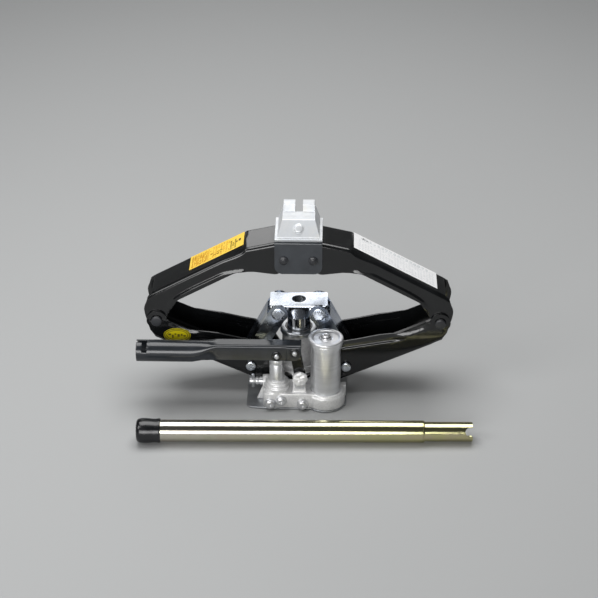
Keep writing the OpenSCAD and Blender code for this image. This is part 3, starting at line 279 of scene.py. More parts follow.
class Effects(Groups):
    """The shader groups that several finishes share."""

    @classmethod
    def place(cls, graph: Graph, name: str, **values: object) -> Sockets:
        """Puts a group into a material.

        Args:
            graph: The material's graph.
            name: The group's name.
            values: Values or sockets for its inputs, by name with _ for a space.

        Returns:
            The group's outputs.
        """
        sources = {label.replace("_", " "): value for label, value in values.items()}
        return graph.put("ShaderNodeGroup", sources, node_tree=cls.group(name))

    @classmethod
    def _grain(cls) -> None:
        """Even grain at two sizes, as a height and as slow patches."""
        graph, given, out = cls.start("grain", {"Scale": 900.0, "Patch Scale": 40.0},
                                      "Height", "Patches")
        place = graph.coords()
        graph.wire(graph.noise(place, given["Scale"], 2.0, 0.5), out["Height"])
        slow = graph.noise(place, given["Patch Scale"], 3.0, 0.6)
        graph.wire(graph.spread(slow, 0.3, 0.7), out["Patches"])

    @staticmethod
    def _mask(graph: Graph, given: Sockets, out: Sockets, where: Socket, broken: Socket) -> None:
        """Gives out a place's mask times the mask that breaks it, times the amount."""
        graph.wire(graph.math("MULTIPLY", graph.math("MULTIPLY", where, broken),
                              given["Amount"]), out["Mask"])

    @classmethod
    def _edge_wear(cls) -> None:
        """A broken mask along convex edges."""
        graph, given, out = cls.start(
            "edge_wear", {"Radius": 0.0006, "Amount": 0.5, "Scale": 300.0}, "Mask")
        bevel = graph.put("ShaderNodeBevel", {"Radius": given["Radius"]}, samples=4)[0]
        turn = graph.vector("DOT_PRODUCT", bevel, graph.normal())["Value"]
        chips = graph.noise(graph.coords(), given["Scale"], 4.0, 0.65)
        cls._mask(graph, given, out, graph.spread(turn, 0.999, 0.93),
                  graph.spread(chips, 0.45, 0.62))

    @classmethod
    def _dust(cls) -> None:
        """A mask that lies on what faces up, in soft patches."""
        graph, given, out = cls.start("dust", {"Amount": 0.3, "Scale": 60.0}, "Mask")
        up = graph.spread(graph.parts(graph.normal())["Z"], 0.3, 1.0, smooth=True)
        cloud = graph.noise(graph.coords(), given["Scale"], 5.0, 0.65)
        cls._mask(graph, given, out, up, graph.spread(cloud, 0.35, 0.75))

    @classmethod
    def _turned_rings(cls) -> None:
        """Fine rings round a vertical axis, as a turning tool leaves them."""
        graph, given, out = cls.start(
            "turned_rings", {"Centre": (0.0, 0.0, 0.0), "Scale": 1800.0}, "Height", "Bands")
        parts = graph.parts(graph.vector("SUBTRACT", graph.coords(), given["Centre"])[0])
        away = graph.vector("LENGTH", graph.joined(parts["X"], parts["Y"]))["Value"]
        line = graph.joined(away, parts["Z"])
        graph.wire(graph.noise(line, given["Scale"], 2.0, 0.6), out["Height"])
        graph.wire(graph.noise(line, 160.0, 2.0, 0.6), out["Bands"])

    @classmethod
    def _drawn_lines(cls) -> None:
        """Long thin streaks, stretched by a scale for each axis."""
        graph, given, out = cls.start(
            "drawn_lines", {"Stretch": (20.0, 900.0, 900.0), "Turn": (0.0, 0.0, 0.0)}, "Height")
        turned = graph.put("ShaderNodeVectorRotate",
                           {"Vector": graph.coords(), "Rotation": given["Turn"]},
                           rotation_type="EULER_XYZ")[0]
        long = graph.vector("MULTIPLY", turned, given["Stretch"])[0]
        graph.wire(graph.noise(long, 1.0, 2.0, 0.55), out["Height"])


# ------------------------------------------------------------------- finishes


@dataclass(frozen=True)
class Finish:
    """A surface as a Principled material. Subclasses say what varies over it."""

    name: str
    colour: Colour
    metallic: float = 0.0
    roughness: float = 0.4
    specular: float = 0.5
    coat: float = 0.0
    coat_roughness: float = 0.08

    def material(self) -> bpy.types.Material:
        """The material, made at its first use."""
        name = f"{self.name}_surface"
        known = bpy.data.materials.get(name)
        if known is not None:
            return known
        made = bpy.data.materials.new(name)
        made.use_nodes = True
        made.node_tree.nodes.clear()
        graph = Graph(made.node_tree)
        colour, roughness, normal = self.skin(graph)
        surface = graph.put("ShaderNodeBsdfPrincipled", {
            "Metallic": self.metallic, "Specular IOR Level": self.specular,
            "Coat Weight": self.coat, "Coat Roughness": self.coat_roughness,
            "Base Color": colour, "Roughness": roughness, "Normal": normal})
        graph.put("ShaderNodeOutputMaterial", {"Surface": surface[0]})
        made.diffuse_color = shade(*self.colour)
        return made

    def skin(self, graph: Graph) -> Skin:
        """The sockets for colour, roughness and normal."""
        raise NotImplementedError

    def tone(self, share: float = 1.0, plus: float = 0.0) -> tuple[float, ...]:
        """The finish's colour, made lighter or darker."""
        return shade(*[min(255, part * share + plus) for part in self.colour])

    def gloss(self, graph: Graph, value: Socket, less: float, more: float, low: float = 0.0,
              high: float = 1.0) -> Socket:
        """Roughness that varies with a value.

        Args:
            graph: The material's graph.
            value: The socket that it follows.
            less: How far it goes below the finish's own roughness.
            more: How far it goes above it.
            low: Start of the value's range.
            high: End of the value's range.

        Returns:
            The roughness.
        """
        return graph.spread(value, low, high, self.roughness - less, self.roughness + more)


@dataclass(frozen=True)
class Paint(Finish):
    """Sprayed enamel over pressed steel, with a faint orange peel."""

    dust: float = 0.1
    # Amount of the lighter convex edges, which are slight wear and painted highlight.
    wear: float = 0.25

    def skin(self, graph: Graph) -> Skin:
        """Peel, slow gloss patches, dust, and lighter convex edges: slight wear and painted
        highlight.
        """
        grain = Effects.place(graph, "grain", Scale=650.0, Patch_Scale=34.0)
        wear = Effects.place(graph, "edge_wear", Amount=self.wear, Radius=0.0005)
        dust = Effects.place(graph, "dust", Amount=self.dust, Scale=90.0)
        tone = graph.mix(grain["Patches"], self.tone(), self.tone(1.35, 4))
        # Lighter grey on convex edges: slight wear, and painted highlight where the rounded edges
        # catch light.
        worn_and_highlit = graph.mix(wear["Mask"], tone, WORN_AND_LIT_PAINT)
        rough = self.gloss(graph, grain["Patches"], 0.04, 0.05)
        dull = graph.math("ADD", rough, graph.math("MULTIPLY", dust["Mask"], 0.5), True)
        return graph.mix(dust["Mask"], worn_and_highlit, DUST), dull, graph.bump(grain["Height"], 0.000008)


@dataclass(frozen=True)
class Plating(Finish):
    """Bright zinc over steel, bluish, with slow drifts of tint and fine sheet lines."""

    tint: Colour = (196, 206, 222)
    warm: Colour = (226, 222, 206)
    depth: float = 0.00001
    drift: float = 55.0

    def skin(self, graph: Graph) -> Skin:
        """Tint drifts, lines, spots and softly worn edges."""
        lines = Effects.place(graph, "drawn_lines", Stretch=(500.0, 60.0, 500.0))
        grain = Effects.place(graph, "grain", Scale=1500.0, Patch_Scale=self.drift)
        wear = Effects.place(graph, "edge_wear", Amount=0.5, Radius=0.0004)
        cool = graph.mix(grain["Patches"], self.tone(), shade(*self.tint))
        other = graph.noise(graph.coords(), self.drift * 0.5, 2.0, 0.5)
        tone = graph.mix(graph.spread(other, 0.52, 0.72, 0.0, 0.5), cool, shade(*self.warm))
        mixed = graph.math("ADD", graph.math("MULTIPLY", lines["Height"], 0.5),
                           graph.math("MULTIPLY", grain["Patches"], 0.5))
        skin = graph.bump(lines["Height"], self.depth)
        return (graph.mix(wear["Mask"], tone, shade(238, 240, 242)),
                self.gloss(graph, mixed, 0.06, 0.08, 0.2, 0.8),
                graph.bump(grain["Height"], self.depth, 0.6, skin))


@dataclass(frozen=True)
class Casting(Finish):
    """Sand-cast iron under silver paint: a pebbled skin, with painted shade in its hollows and
    painted highlights on its edges.
    """

    depth: float = 0.0001

    def skin(self, graph: Graph) -> Skin:
        """Pebbles, painted shade in the hollows, painted highlights on convex edges and a duller
        patchwork.
        """
        grain = Effects.place(graph, "grain", Scale=520.0, Patch_Scale=70.0)
        fine = Effects.place(graph, "grain", Scale=1900.0, Patch_Scale=160.0)
        dust = Effects.place(graph, "dust", Amount=0.12, Scale=120.0)
        # Painted highlight: the edge mask below lightens the convex edges to near-white (252).
        wear = Effects.place(graph, "edge_wear", Amount=0.5, Radius=0.001)
        # Painted shade: the low points of the pebbles are darkened towards grey (108).
        hollow_shade = graph.spread(grain["Height"], 0.32, 0.5, 1.0, 0.0)
        tone = graph.mix(fine["Patches"], self.tone(), self.tone(0.93))
        dark = graph.mix(graph.math("MULTIPLY", hollow_shade, 0.16), tone, shade(108, 108, 108))
        worn_and_highlit = graph.mix(wear["Mask"], dark, shade(252, 252, 252))
        low = graph.bump(grain["Height"], self.depth)
        return (graph.mix(dust["Mask"], worn_and_highlit, DUST),
                self.gloss(graph, grain["Patches"], 0.05, 0.07),
                graph.bump(fine["Height"], self.depth * 0.3, 0.8, low))


@dataclass(frozen=True)
class Turned(Finish):
    """Steel turned on a lathe round a vertical axis, with fine tool rings."""

    centre: Place = (0.0, 0.0, 0.0)
    ring_scale: float = 2200.0
    depth: float = 0.00001

    def skin(self, graph: Graph) -> Skin:
        """Tool rings, slow bands and bright edges."""
        rings = Effects.place(graph, "turned_rings", Centre=self.centre, Scale=self.ring_scale)
        grain = Effects.place(graph, "grain", Scale=1600.0, Patch_Scale=60.0)
        wear = Effects.place(graph, "edge_wear", Amount=0.45, Radius=0.0004)
        bands = graph.spread(rings["Bands"], 0.35, 0.65)
        tone = graph.mix(bands, self.tone(), self.tone(0.94))
        smudged = graph.mix(graph.math("MULTIPLY", grain["Patches"], 0.25), tone,
                            self.tone(0.86))
        skin = graph.bump(rings["Height"], self.depth)
        return (graph.mix(wear["Mask"], smudged, shade(236, 238, 240)),
                self.gloss(graph, rings["Height"], 0.05, 0.07, 0.3, 0.7),
                graph.bump(grain["Height"], self.depth, 0.4, skin))


@dataclass(frozen=True)
class Chromate(Finish):
    """Yellow chromate over a drawn tube: pale at one end, golden at the other."""

    pale: Colour = (196, 192, 182)
    rosy: Colour = (188, 172, 158)
    green: Colour = (166, 174, 138)
    start: float = -0.2
    stop: float = 0.2
    turn: float = math.radians(-1.3)

    def skin(self, graph: Graph) -> Skin:
        """The long colour ramp, its rainbow clouds and the drawing lines."""
        place = graph.coords()
        lines = Effects.place(graph, "drawn_lines", Stretch=(14.0, 900.0, 900.0),
                              Turn=(0.0, 0.0, self.turn))
        grain = Effects.place(graph, "grain", Scale=1700.0, Patch_Scale=26.0)
        wander = graph.math("MULTIPLY", grain["Patches"], 0.06)
        along = graph.math("ADD", graph.parts(place)["X"], wander)
        gold = graph.spread(along, self.start, self.stop, smooth=True)
        tone = graph.mix(gold, shade(*self.pale), self.tone())
        wide = graph.vector("MULTIPLY", place, (30.0, 70.0, 70.0))[0]
        cloud = graph.noise(wide, 1.0, 3.0, 0.6)
        tone = graph.mix(graph.spread(cloud, 0.52, 0.7, 0.0, 0.55), tone, shade(*self.rosy))
        tone = graph.mix(graph.spread(cloud, 0.46, 0.3, 0.0, 0.45), tone, shade(*self.green))
        skin = graph.bump(lines["Height"], 0.000002)
        return (tone, self.gloss(graph, lines["Height"], 0.02, 0.04, 0.3, 0.7),
                graph.bump(grain["Height"], 0.000004, 0.5, skin))


@dataclass(frozen=True)
class Rubber(Finish):
    """Moulded rubber with a dull skin and a little bloom."""

    bloom: float = 0.15

    def skin(self, graph: Graph) -> Skin:
        """A fine skin, duller patches and dust."""
        grain = Effects.place(graph, "grain", Scale=1300.0, Patch_Scale=48.0)
        dust = Effects.place(graph, "dust", Amount=self.bloom, Scale=110.0)
        tone = graph.mix(grain["Patches"], self.tone(), self.tone(1.3, 3))
        return (graph.mix(dust["Mask"], tone, shade(122, 120, 117)),
                self.gloss(graph, grain["Patches"], 0.05, 0.08),
                graph.bump(grain["Height"], 0.00004))


@dataclass(frozen=True)
class Film(Finish):
    """A glossy label film, or the ink on it."""

    def skin(self, graph: Graph) -> Skin:
        """Slight unevenness of ink and film."""
        grain = Effects.place(graph, "grain", Scale=420.0, Patch_Scale=120.0)
        return (graph.mix(grain["Patches"], self.tone(), self.tone(0.96)),
                self.gloss(graph, grain["Patches"], 0.04, 0.06),
                graph.bump(grain["Height"], 0.00003))


DUST = shade(150, 148, 143)
# Grey for the enamel's convex edges: slight wear and painted highlight.
WORN_AND_LIT_PAINT = shade(112, 114, 118)
TANK_FOOT = (34.4, -53.6, 0.0)
FINISHES: dict[Slot, Finish] = {
    Slot.BLACK_PAINT: Paint("black_enamel", (9, 10, 11), roughness=0.36, specular=0.08,
                            coat=0.95, coat_roughness=0.09, dust=0.015, wear=0.12),
    Slot.BLACK_PIN: Paint("blackened_pin", (34, 35, 38), roughness=0.34, wear=0.5, dust=0.05),
    Slot.ZINC_PLATE: Plating("bright_zinc", (222, 226, 232), metallic=1.0, roughness=0.24,
                             depth=0.000003),
    Slot.SADDLE_ZINC: Plating("saddle_zinc", (220, 222, 223), metallic=0.35, roughness=0.36,
                              depth=0.00001, drift=80.0, tint=(202, 206, 211)),
    Slot.CAST_SILVER: Casting("silver_casting", (240, 240, 240), metallic=0.4, roughness=0.38),
    Slot.MACHINED_STEEL: Turned("machined_steel", (206, 209, 212), metallic=1.0, roughness=0.3),
    Slot.TANK_STEEL: Turned("tank_steel", (228, 229, 231), metallic=0.8, roughness=0.33,
                            centre=tuple(part * MM for part in TANK_FOOT),
                            ring_scale=1500.0),
    Slot.BASE_ZINC: Plating("base_zinc", (176, 178, 180), metallic=0.8, roughness=0.38,
                            depth=0.00001, tint=(158, 162, 168), warm=(170, 168, 160)),
    Slot.RAM_CHROME: Turned("ram_chrome", (222, 225, 229), metallic=1.0, roughness=0.12,
                            depth=0.00001),
    Slot.SEAL_RUBBER: Rubber("seal_rubber", (30, 30, 32), roughness=0.6),
    Slot.CAP_RUBBER: Rubber("cap_rubber", (13, 14, 16), roughness=0.2, bloom=0.02),
    Slot.YELLOW_ZINC: Chromate("yellow_chromate", (188, 184, 138), metallic=1.0, roughness=0.17),
    Slot.LABEL_YELLOW: Film("yellow_film", (252, 212, 84), roughness=0.32, coat=0.3),
    Slot.LABEL_WHITE: Film("white_film", (253, 253, 253), roughness=0.32, coat=0.3),
    Slot.STICKER_GREEN: Film("yellow_green_film", (198, 184, 14), roughness=0.3, coat=0.3),
}
INK = Film("label_ink", (38, 36, 34), roughness=0.45)
SOFT_INK = Film("label_soft_ink", (196, 140, 30), roughness=0.45)
GREY_INK = Film("label_grey_ink", (206, 210, 212), roughness=0.45)
OLIVE_INK = Film("sticker_olive_ink", (92, 84, 12), roughness=0.4)
LEVER_PAINT = Paint("lever_enamel", (24, 27, 31), roughness=0.38, specular=0.15, coat=0.8,
                    coat_roughness=0.16, dust=0.015, wear=0.12)
LINK_ZINC = Plating("link_zinc", (150, 158, 170), metallic=1.0, roughness=0.24, depth=0.000004,
                    tint=(118, 128, 146), warm=(176, 176, 160), drift=70.0)
WIPER = Rubber("oiled_wiper", (74, 75, 77), roughness=0.25, bloom=0.02)
BRACKET_PAINT = Paint("bracket_enamel", (40, 43, 47), roughness=0.36, specular=0.2, coat=0.9,
                      dust=0.02, wear=0.2)


# ------------------------------------------------------------------ mesh work


def publish(piece: Piece, like: str, *stands_for: str, slot: Optional[Slot] = None,
            finish: Optional[Finish] = None) -> Piece:
    """Gives a finished piece its material and body, and hides the CAD nodes that it stands for.

    Args:
        piece: The piece, with its place in its mesh.
        like: The CAD node whose body and slot it takes.
        stands_for: CAD nodes that it replaces.
        slot: A slot other than the node's.
        finish: A finish other than the slot's own.

    Returns:
        The piece.
    """
    slot = slot or Slot(NODE_SLOT[like])
    body = frame["nodes"][like]["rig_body"]
    if finish is not None or not piece.data.materials:
        piece.data.materials.clear()
        piece.data.materials.append((finish or FINISHES[slot]).material())
    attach(piece, body)
    if stands_for:
        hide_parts(*stands_for)
    LOG.info("piece %s rides on %s, %d faces", piece.name, body, len(piece.data.polygons))
    return piece


class Shop:
    """Mesh work that every sub-assembly uses."""

    merge: ClassVar[float] = 3e-6
    sliver: ClassVar[float] = 2e-6
    flat: ClassVar[float] = math.radians(0.8)

    @staticmethod
    def linked(name: str, data: bpy.types.ID) -> Piece:
        """A new object for a mesh, a camera or a lamp, in the scene."""
        made = bpy.data.objects.new(name, data)
        bpy.context.scene.collection.objects.link(made)
        return made

    @staticmethod
    def from_faces(name: str, points: Sequence[Sequence[float]],
                   faces: Sequence[Sequence[int]], outward: bool = False) -> Piece:
        """An object from points in millimetres and faces, which may be turned outwards."""
        mesh = bpy.data.meshes.new(name)
        mesh.from_pydata([(x * MM, y * MM, z * MM) for x, y, z in points], [], list(faces))
        mesh.validate()
        made = Shop.linked(name, mesh)
        if outward:
            Shop.edit(made, lambda bm: bmesh.ops.recalc_face_normals(bm, faces=bm.faces))
        return made

    @staticmethod
    def edit(piece: Piece, work: Callable[[bmesh.types.BMesh], None]) -> None:
        """Runs work on the piece's mesh as a bmesh."""
        bm = bmesh.new()
        bm.from_mesh(piece.data)
        work(bm)
        bm.to_mesh(piece.data)
        bm.free()
        piece.data.update()

    @staticmethod
    def node_copy(node: str, name: str, levels: Line = ()) -> Piece:
        """A clean, joined copy of a CAD node.

        Args:
            node: The CAD node's name.
            name: The new piece's name.
            levels: Pairs of distances from the middle plane, in millimetres: points at
                the first are moved to the second, which closes shallow steps.

        Returns:
            The copy, with flat faces joined again.
        """
        mesh = frame["nodes"][node].data.copy()
        mesh.name = name
        mesh.materials.clear()
        for attribute in ("custom_normal", "sharp_face", "sharp_edge"):
            if attribute in mesh.attributes:
                mesh.attributes.remove(mesh.attributes[attribute])
        made = Shop.linked(name, mesh)

        def clean(bm: bmesh.types.BMesh) -> None:
            """Snaps, merges and dissolves."""
            for vert in bm.verts:
                for level, wanted in levels:
                    if abs(abs(vert.co.y) - level * MM) < 0.02 * MM:
                        vert.co.y = math.copysign(wanted * MM, vert.co.y)
            bmesh.ops.remove_doubles(bm, verts=bm.verts, dist=Shop.merge)
            bmesh.ops.dissolve_degenerate(bm, dist=Shop.sliver, edges=bm.edges)
            bmesh.ops.dissolve_limit(bm, angle_limit=Shop.flat, verts=bm.verts,
                                     edges=bm.edges)

        Shop.edit(made, clean)
        return made

    @staticmethod
    def bake(piece: Piece) -> Piece:
        """Turns the piece and its modifiers into one plain mesh."""
        graph = bpy.context.evaluated_depsgraph_get()
        mesh = bpy.data.meshes.new_from_object(
            piece.evaluated_get(graph), preserve_all_data_layers=True, depsgraph=graph)
        piece.modifiers.clear()
        old, piece.data = piece.data, mesh
        bpy.data.meshes.remove(old)
        return piece

    @staticmethod
    def rounded(piece: Piece, width: float, segments: int = 2, angle: float = 40.0,
                harden: bool = True) -> Piece:
        """Rounds the sharp edges.

        Args:
            piece: The piece.
            width: Width of the rounding, in millimetres.
            segments: Faces across the rounding.
            angle: Edges sharper than this are rounded, in degrees.
            harden: Whether flat faces keep their flat shading.

        Returns:
            The piece, with its modifier baked.
        """
        mod = piece.modifiers.new("rounding", "BEVEL")
        mod.width = width * MM
        mod.segments = segments
        mod.limit_method = "ANGLE"
        mod.angle_limit = math.radians(angle)
        mod.harden_normals = harden
        piece.data.shade_smooth()
        return Shop.bake(piece)

    @staticmethod
    def bent(piece: Piece, top: float, half: float, width: float, segments: int) -> None:
        """Rounds the two long edges where a top sheet bends down.

        Args:
            piece: The piece.
            top: Height of the edges, in millimetres.
            half: Their distance from the middle plane, in millimetres.
            width: Width of the bend, in millimetres.
            segments: Faces across the bend.
        """
        def bend(bm: bmesh.types.BMesh) -> None:
            """Bevels the edges whose two ends lie on the line of the bend."""
            edges = [edge for edge in bm.edges
                     if all(abs(vert.co.z / MM - top) < 0.05
                            and abs(abs(vert.co.y / MM) - half) < 0.05 for vert in edge.verts)]
            bmesh.ops.bevel(bm, geom=edges, offset=width * MM, segments=segments,
                            profile=0.5, affect="EDGES", clamp_overlap=False)

        Shop.edit(piece, bend)

    @staticmethod
    def smooth(piece: Piece, angle: float) -> Piece:
        """Shades the piece smooth, sharp over that angle in degrees."""
        piece.data.shade_smooth()
        piece.data.set_sharp_from_angle(angle=math.radians(angle))
        return piece

    @staticmethod
    def turned(name: str, profile: Line, centre: Place, sides: int = 96,
               lie: Optional[Matrix] = None) -> Piece:
        """Spins a closed profile round the vertical axis.

        Args:
            name: The piece's name.
            profile: Radius and height of each point, in millimetres, going round the
                section counter-clockwise. Radius 0 makes one point.
            centre: The axis' foot, in millimetres.
            sides: Faces round the axis.
            lie: A matrix that lays the axis down before it is placed.

        Returns:
            The closed piece.
        """
        points: list[Place] = []
        rings: list[list[int]] = []
        for radius, height in profile:
            if radius <= 0:
                rings.append([len(points)] * sides)
                points.append((0.0, 0.0, height))
                continue
            rings.append(list(range(len(points), len(points) + sides)))
            points += [(radius * x, radius * y, height) for x, y in around(sides)]
        faces = []
        for low, high in zip(rings, rings[1:] + rings[:1]):
            for k in range(sides):
                n = (k + 1) % sides
                faces.append(list(dict.fromkeys((low[k], low[n], high[n], high[k]))))
        turn = lie or Matrix.Identity(4)
        placed = [tuple(turn @ Vector(point) + Vector(centre)) for point in points]
        made = Shop.from_faces(name, placed, [face for face in faces if len(face) > 2], True)
        return Shop.smooth(made, 32.0)

    @staticmethod
    def combed(piece: Piece, place: Matrix, steps: Cuts) -> None:
        """Cuts the mesh by planes of a local frame, so that it can be pressed into shape.

        Args:
            piece: The piece.
            place: The local frame's matrix, in metres.
            steps: An axis number and the places of its planes, in millimetres, for each
                set of cuts.
        """
        def cut(bm: bmesh.types.BMesh) -> None:
            """Cuts once for each plane."""
            for axis, places in steps:
                normal = place.to_3x3().col[axis].normalized()
                for value in places:
                    local = Vector((0.0, 0.0, 0.0))
                    local[axis] = value * MM
                    bmesh.ops.bisect_plane(
                        bm, geom=bm.verts[:] + bm.edges[:] + bm.faces[:], dist=1e-7,
                        plane_co=place @ local, plane_no=normal)

        Shop.edit(piece, cut)

    @staticmethod
    def pressed(piece: Piece, push: Callable[[Vector], Vector]) -> None:
        """Moves every point of the mesh by what push gives for it, in metres."""
        for vert in piece.data.vertices:
            vert.co += push(vert.co)
        piece.data.update()


def dress(node: str, name: str, width: float = 0.4, segments: int = 2, angle: float = 40.0,
          harden: bool = True, finish: Optional[Finish] = None,
          work: Optional[Callable[[Piece], None]] = None) -> Piece:
    """Copies a CAD node, rounds its edges and publishes the copy in its place.

    Args:
        node: The CAD node's name.
        name: The new piece's name.
        width: Width of the rounding, in millimetres.
        segments: Faces across the rounding.
        angle: Edges sharper than this are rounded, in degrees.
        harden: Whether flat faces keep their flat shading.
        finish: A finish other than the slot's own.
        work: Changes the copy before its edges are rounded.

    Returns:
        The copy.
    """
    piece = Shop.node_copy(node, name)
    if work is not None:
        work(piece)
    Shop.rounded(piece, width, segments, angle, harden)
    return publish(piece, node, node, finish=finish)


def around(sides: int) -> list[tuple[float, float]]:
    """Points round a circle of radius 1."""
    return [(math.cos(2 * math.pi * k / sides), math.sin(2 * math.pi * k / sides))
            for k in range(sides)]


def line_distance(x: float, y: float, line: Line) -> float:
    """Distance of a point from a line of joined points."""
    best = math.inf
    for (ax, ay), (bx, by) in zip(line, line[1:]):
        dx, dy = bx - ax, by - ay
        share = ((x - ax) * dx + (y - ay) * dy) / (dx * dx + dy * dy)
        share = min(1.0, max(0.0, share))
        best = min(best, math.hypot(x - ax - share * dx, y - ay - share * dy))
    return best


def plateau(value: float, start: float, full: float, last: float, end: float) -> float:
    """Rises from 0 at start to 1 at full, and falls from last to 0 at end."""
    return ease(value, start, full) * (1 - ease(value, last, end))


def follow(line: Line, value: float) -> float:
    """The second number of a line of points, where the first is value."""
    return float(np.interp(value, *zip(*line)))


def ease(value: float, low: float, high: float) -> float:
    """A smooth step from 0 at low to 1 at high."""
    share = min(1.0, max(0.0, (value - low) / (high - low)))
    return share * share * (3 - 2 * share)


def rough_skin(point: Vector, coarse: tuple[float, float], fine: tuple[float, float]) -> Vector:
    """How uneven a sand mould left a point, in metres: two waves, with length and height."""
    return sum((noise.noise_vector(point / (length * MM)) * height
                for length, height in (coarse, fine)), Vector((0.0, 0.0, 0.0))) * MM


class Trees(Groups):
    """The Geometry Nodes trees, with named inputs."""

    kind = "GeometryNodeTree"
    result = "NodeSocketGeometry"
    head_steps: ClassVar[Line] = (
        (0.42, 1.0), (0.14, 0.97975), (0.14, 0.946), (0.13, 0.901), (0.1, 0.847), (0.07, 0.775))

    @staticmethod
    def _spread(graph: Graph, given: Sockets, out: Sockets, **sources: Socket) -> None:
        """Puts an instance on each point, realizes them and sets the material."""
        spread = graph.put("GeometryNodeInstanceOnPoints", sources)
        real = graph.put("GeometryNodeRealizeInstances", {0: spread[0]})
        dressed = graph.put("GeometryNodeSetMaterial",
                            {"Geometry": real[0], "Material": given["Material"]})
        graph.wire(dressed[0], out[0])

    @classmethod
    def _domed_heads(cls) -> None:
        """A rivet head on each point, facing along the point's own direction."""
        graph, given, out = cls.start("domed_heads", {
            "Geometry": cls.result, "Radius": 0.006, "Height": 0.003, "Sides": 40,
            "Material": "NodeSocketMaterial"}, "Geometry")
        disc = graph.put("GeometryNodeMeshCircle", {
            "Vertices": given["Sides"], "Radius": given["Radius"]}, fill_type="NGON")[0]
        shape, top = disc, True
        for rise, shrink in cls.head_steps:
            up = graph.joined(0.0, 0.0, graph.math("MULTIPLY", given["Height"], rise))
            lifted = graph.put("GeometryNodeExtrudeMesh", {
                "Mesh": shape, "Selection": top, "Offset": up, "Offset Scale": 1.0,
                "Individual": False}, mode="FACES")
            top = lifted["Top"]
            shape = graph.put("GeometryNodeScaleElements", {
                "Geometry": lifted["Mesh"], "Selection": top, "Scale": shrink},
                              domain="FACE")[0]
        both = graph.add("GeometryNodeJoinGeometry")
        for part in (shape, graph.put("GeometryNodeFlipFaces", {0: disc})[0]):
            graph.wire(part, both.inputs[0])
        weld = graph.put("GeometryNodeMergeByDistance",
                         {"Geometry": both.outputs[0], "Distance": 1e-6})
        facing = graph.put("GeometryNodeInputNamedAttribute", {"Name": "facing"},
                           data_type="FLOAT_VECTOR")
        turn = graph.put("FunctionNodeAlignRotationToVector", {"Vector": facing["Attribute"]},
                         axis="Z")
        cls._spread(graph, given, out, Points=given["Geometry"], Instance=weld[0],
                    Rotation=turn[0])

    @classmethod
    def _print_rows(cls) -> None:
        """Rows of short bars of random length, which stand for small print."""
        graph, given, out = cls.start("print_rows", {
            "Geometry": cls.result, "Length": 0.06, "Width": 0.02, "Columns": 14, "Rows": 5,
            "Bar Height": 0.0012, "Bar Depth": 0.0001, "Seed": 3,
            "Material": "NodeSocketMaterial"}, "Geometry")
        grid = graph.put("GeometryNodeMeshGrid", {
            "Size X": given["Length"], "Size Y": given["Width"],
            "Vertices X": given["Columns"], "Vertices Y": given["Rows"]})
        pitch = graph.math("DIVIDE", given["Length"],
                           graph.math("SUBTRACT", given["Columns"], 1.0))
        share = graph.put("FunctionNodeRandomValue",
                          {2: 0.35, 3: 0.92, "Seed": given["Seed"]}, data_type="FLOAT")[1]
        size = graph.joined(graph.math("MULTIPLY", pitch, share), given["Bar Height"],
                            given["Bar Depth"])
        keep = graph.put("FunctionNodeRandomValue",
                         {"Probability": 0.82, "Seed": given["Seed"]}, data_type="BOOLEAN")[3]
        bar = graph.put("GeometryNodeMeshCube", {"Size": (1.0, 1.0, 1.0)})
        cls._spread(graph, given, out, Points=grid["Mesh"], Selection=keep,
                    Instance=bar["Mesh"], Scale=size)

    @classmethod
    def run(cls, tree: str, piece: Piece, **values: object) -> Piece:
        """Runs a tree on a piece and leaves a plain mesh.

        Args:
            tree: The tree's name.
            piece: The object whose mesh goes in.
            values: The tree's inputs, by name with _ for a space.

        Returns:
            The piece, with the tree's result as its mesh.
        """
        mod = piece.modifiers.new(tree, "NODES")
        mod.node_group = cls.group(tree)
        names = {item.name: item.identifier for item in mod.node_group.interface.items_tree
                 if item.item_type == "SOCKET" and item.in_out == "INPUT"}
        for label, value in values.items():
            mod[names[label.replace("_", " ")]] = value
        return Shop.bake(piece)


def domed_heads(name: str, like: str, places: Sequence[tuple[Place, Place]],
                size: tuple[float, float], slot: Optional[Slot] = None,
                finish: Optional[Finish] = None) -> None:
    """Builds and publishes one piece with domed heads.

    Args:
        name: The piece's name.
        like: The CAD node whose body and slot it takes.
        places: Foot and direction of each head, in millimetres.
        size: Radius and height of a head, in millimetres.
        slot: A slot other than the node's.
        finish: A finish other than the slot's own.
    """
    made = Shop.from_faces(name, [foot for foot, _ in places], [])
    facing = made.data.attributes.new("facing", "FLOAT_VECTOR", "POINT")
    for item, (_, way) in zip(facing.data, places):
        item.vector = way
    material = (finish or FINISHES[Slot(NODE_SLOT[like])]).material()
    Trees.run("domed_heads", made, Radius=size[0] * MM, Height=size[1] * MM, Material=material)
    publish(Shop.smooth(made, 50.0), like, slot=slot)


def turning(name: str, like: str, profile: Line, centre: Place, *stands_for: str,
            sides: int = 96, lie: Optional[Matrix] = None, slot: Optional[Slot] = None,
            finish: Optional[Finish] = None) -> None:
    """Spins a profile, as Shop.turned does, and publishes the piece, as publish does."""
    publish(Shop.turned(name, profile, centre, sides, lie), like, *stands_for, slot=slot,
            finish=finish)


# -------------------------------------------------------------- sub-assemblies


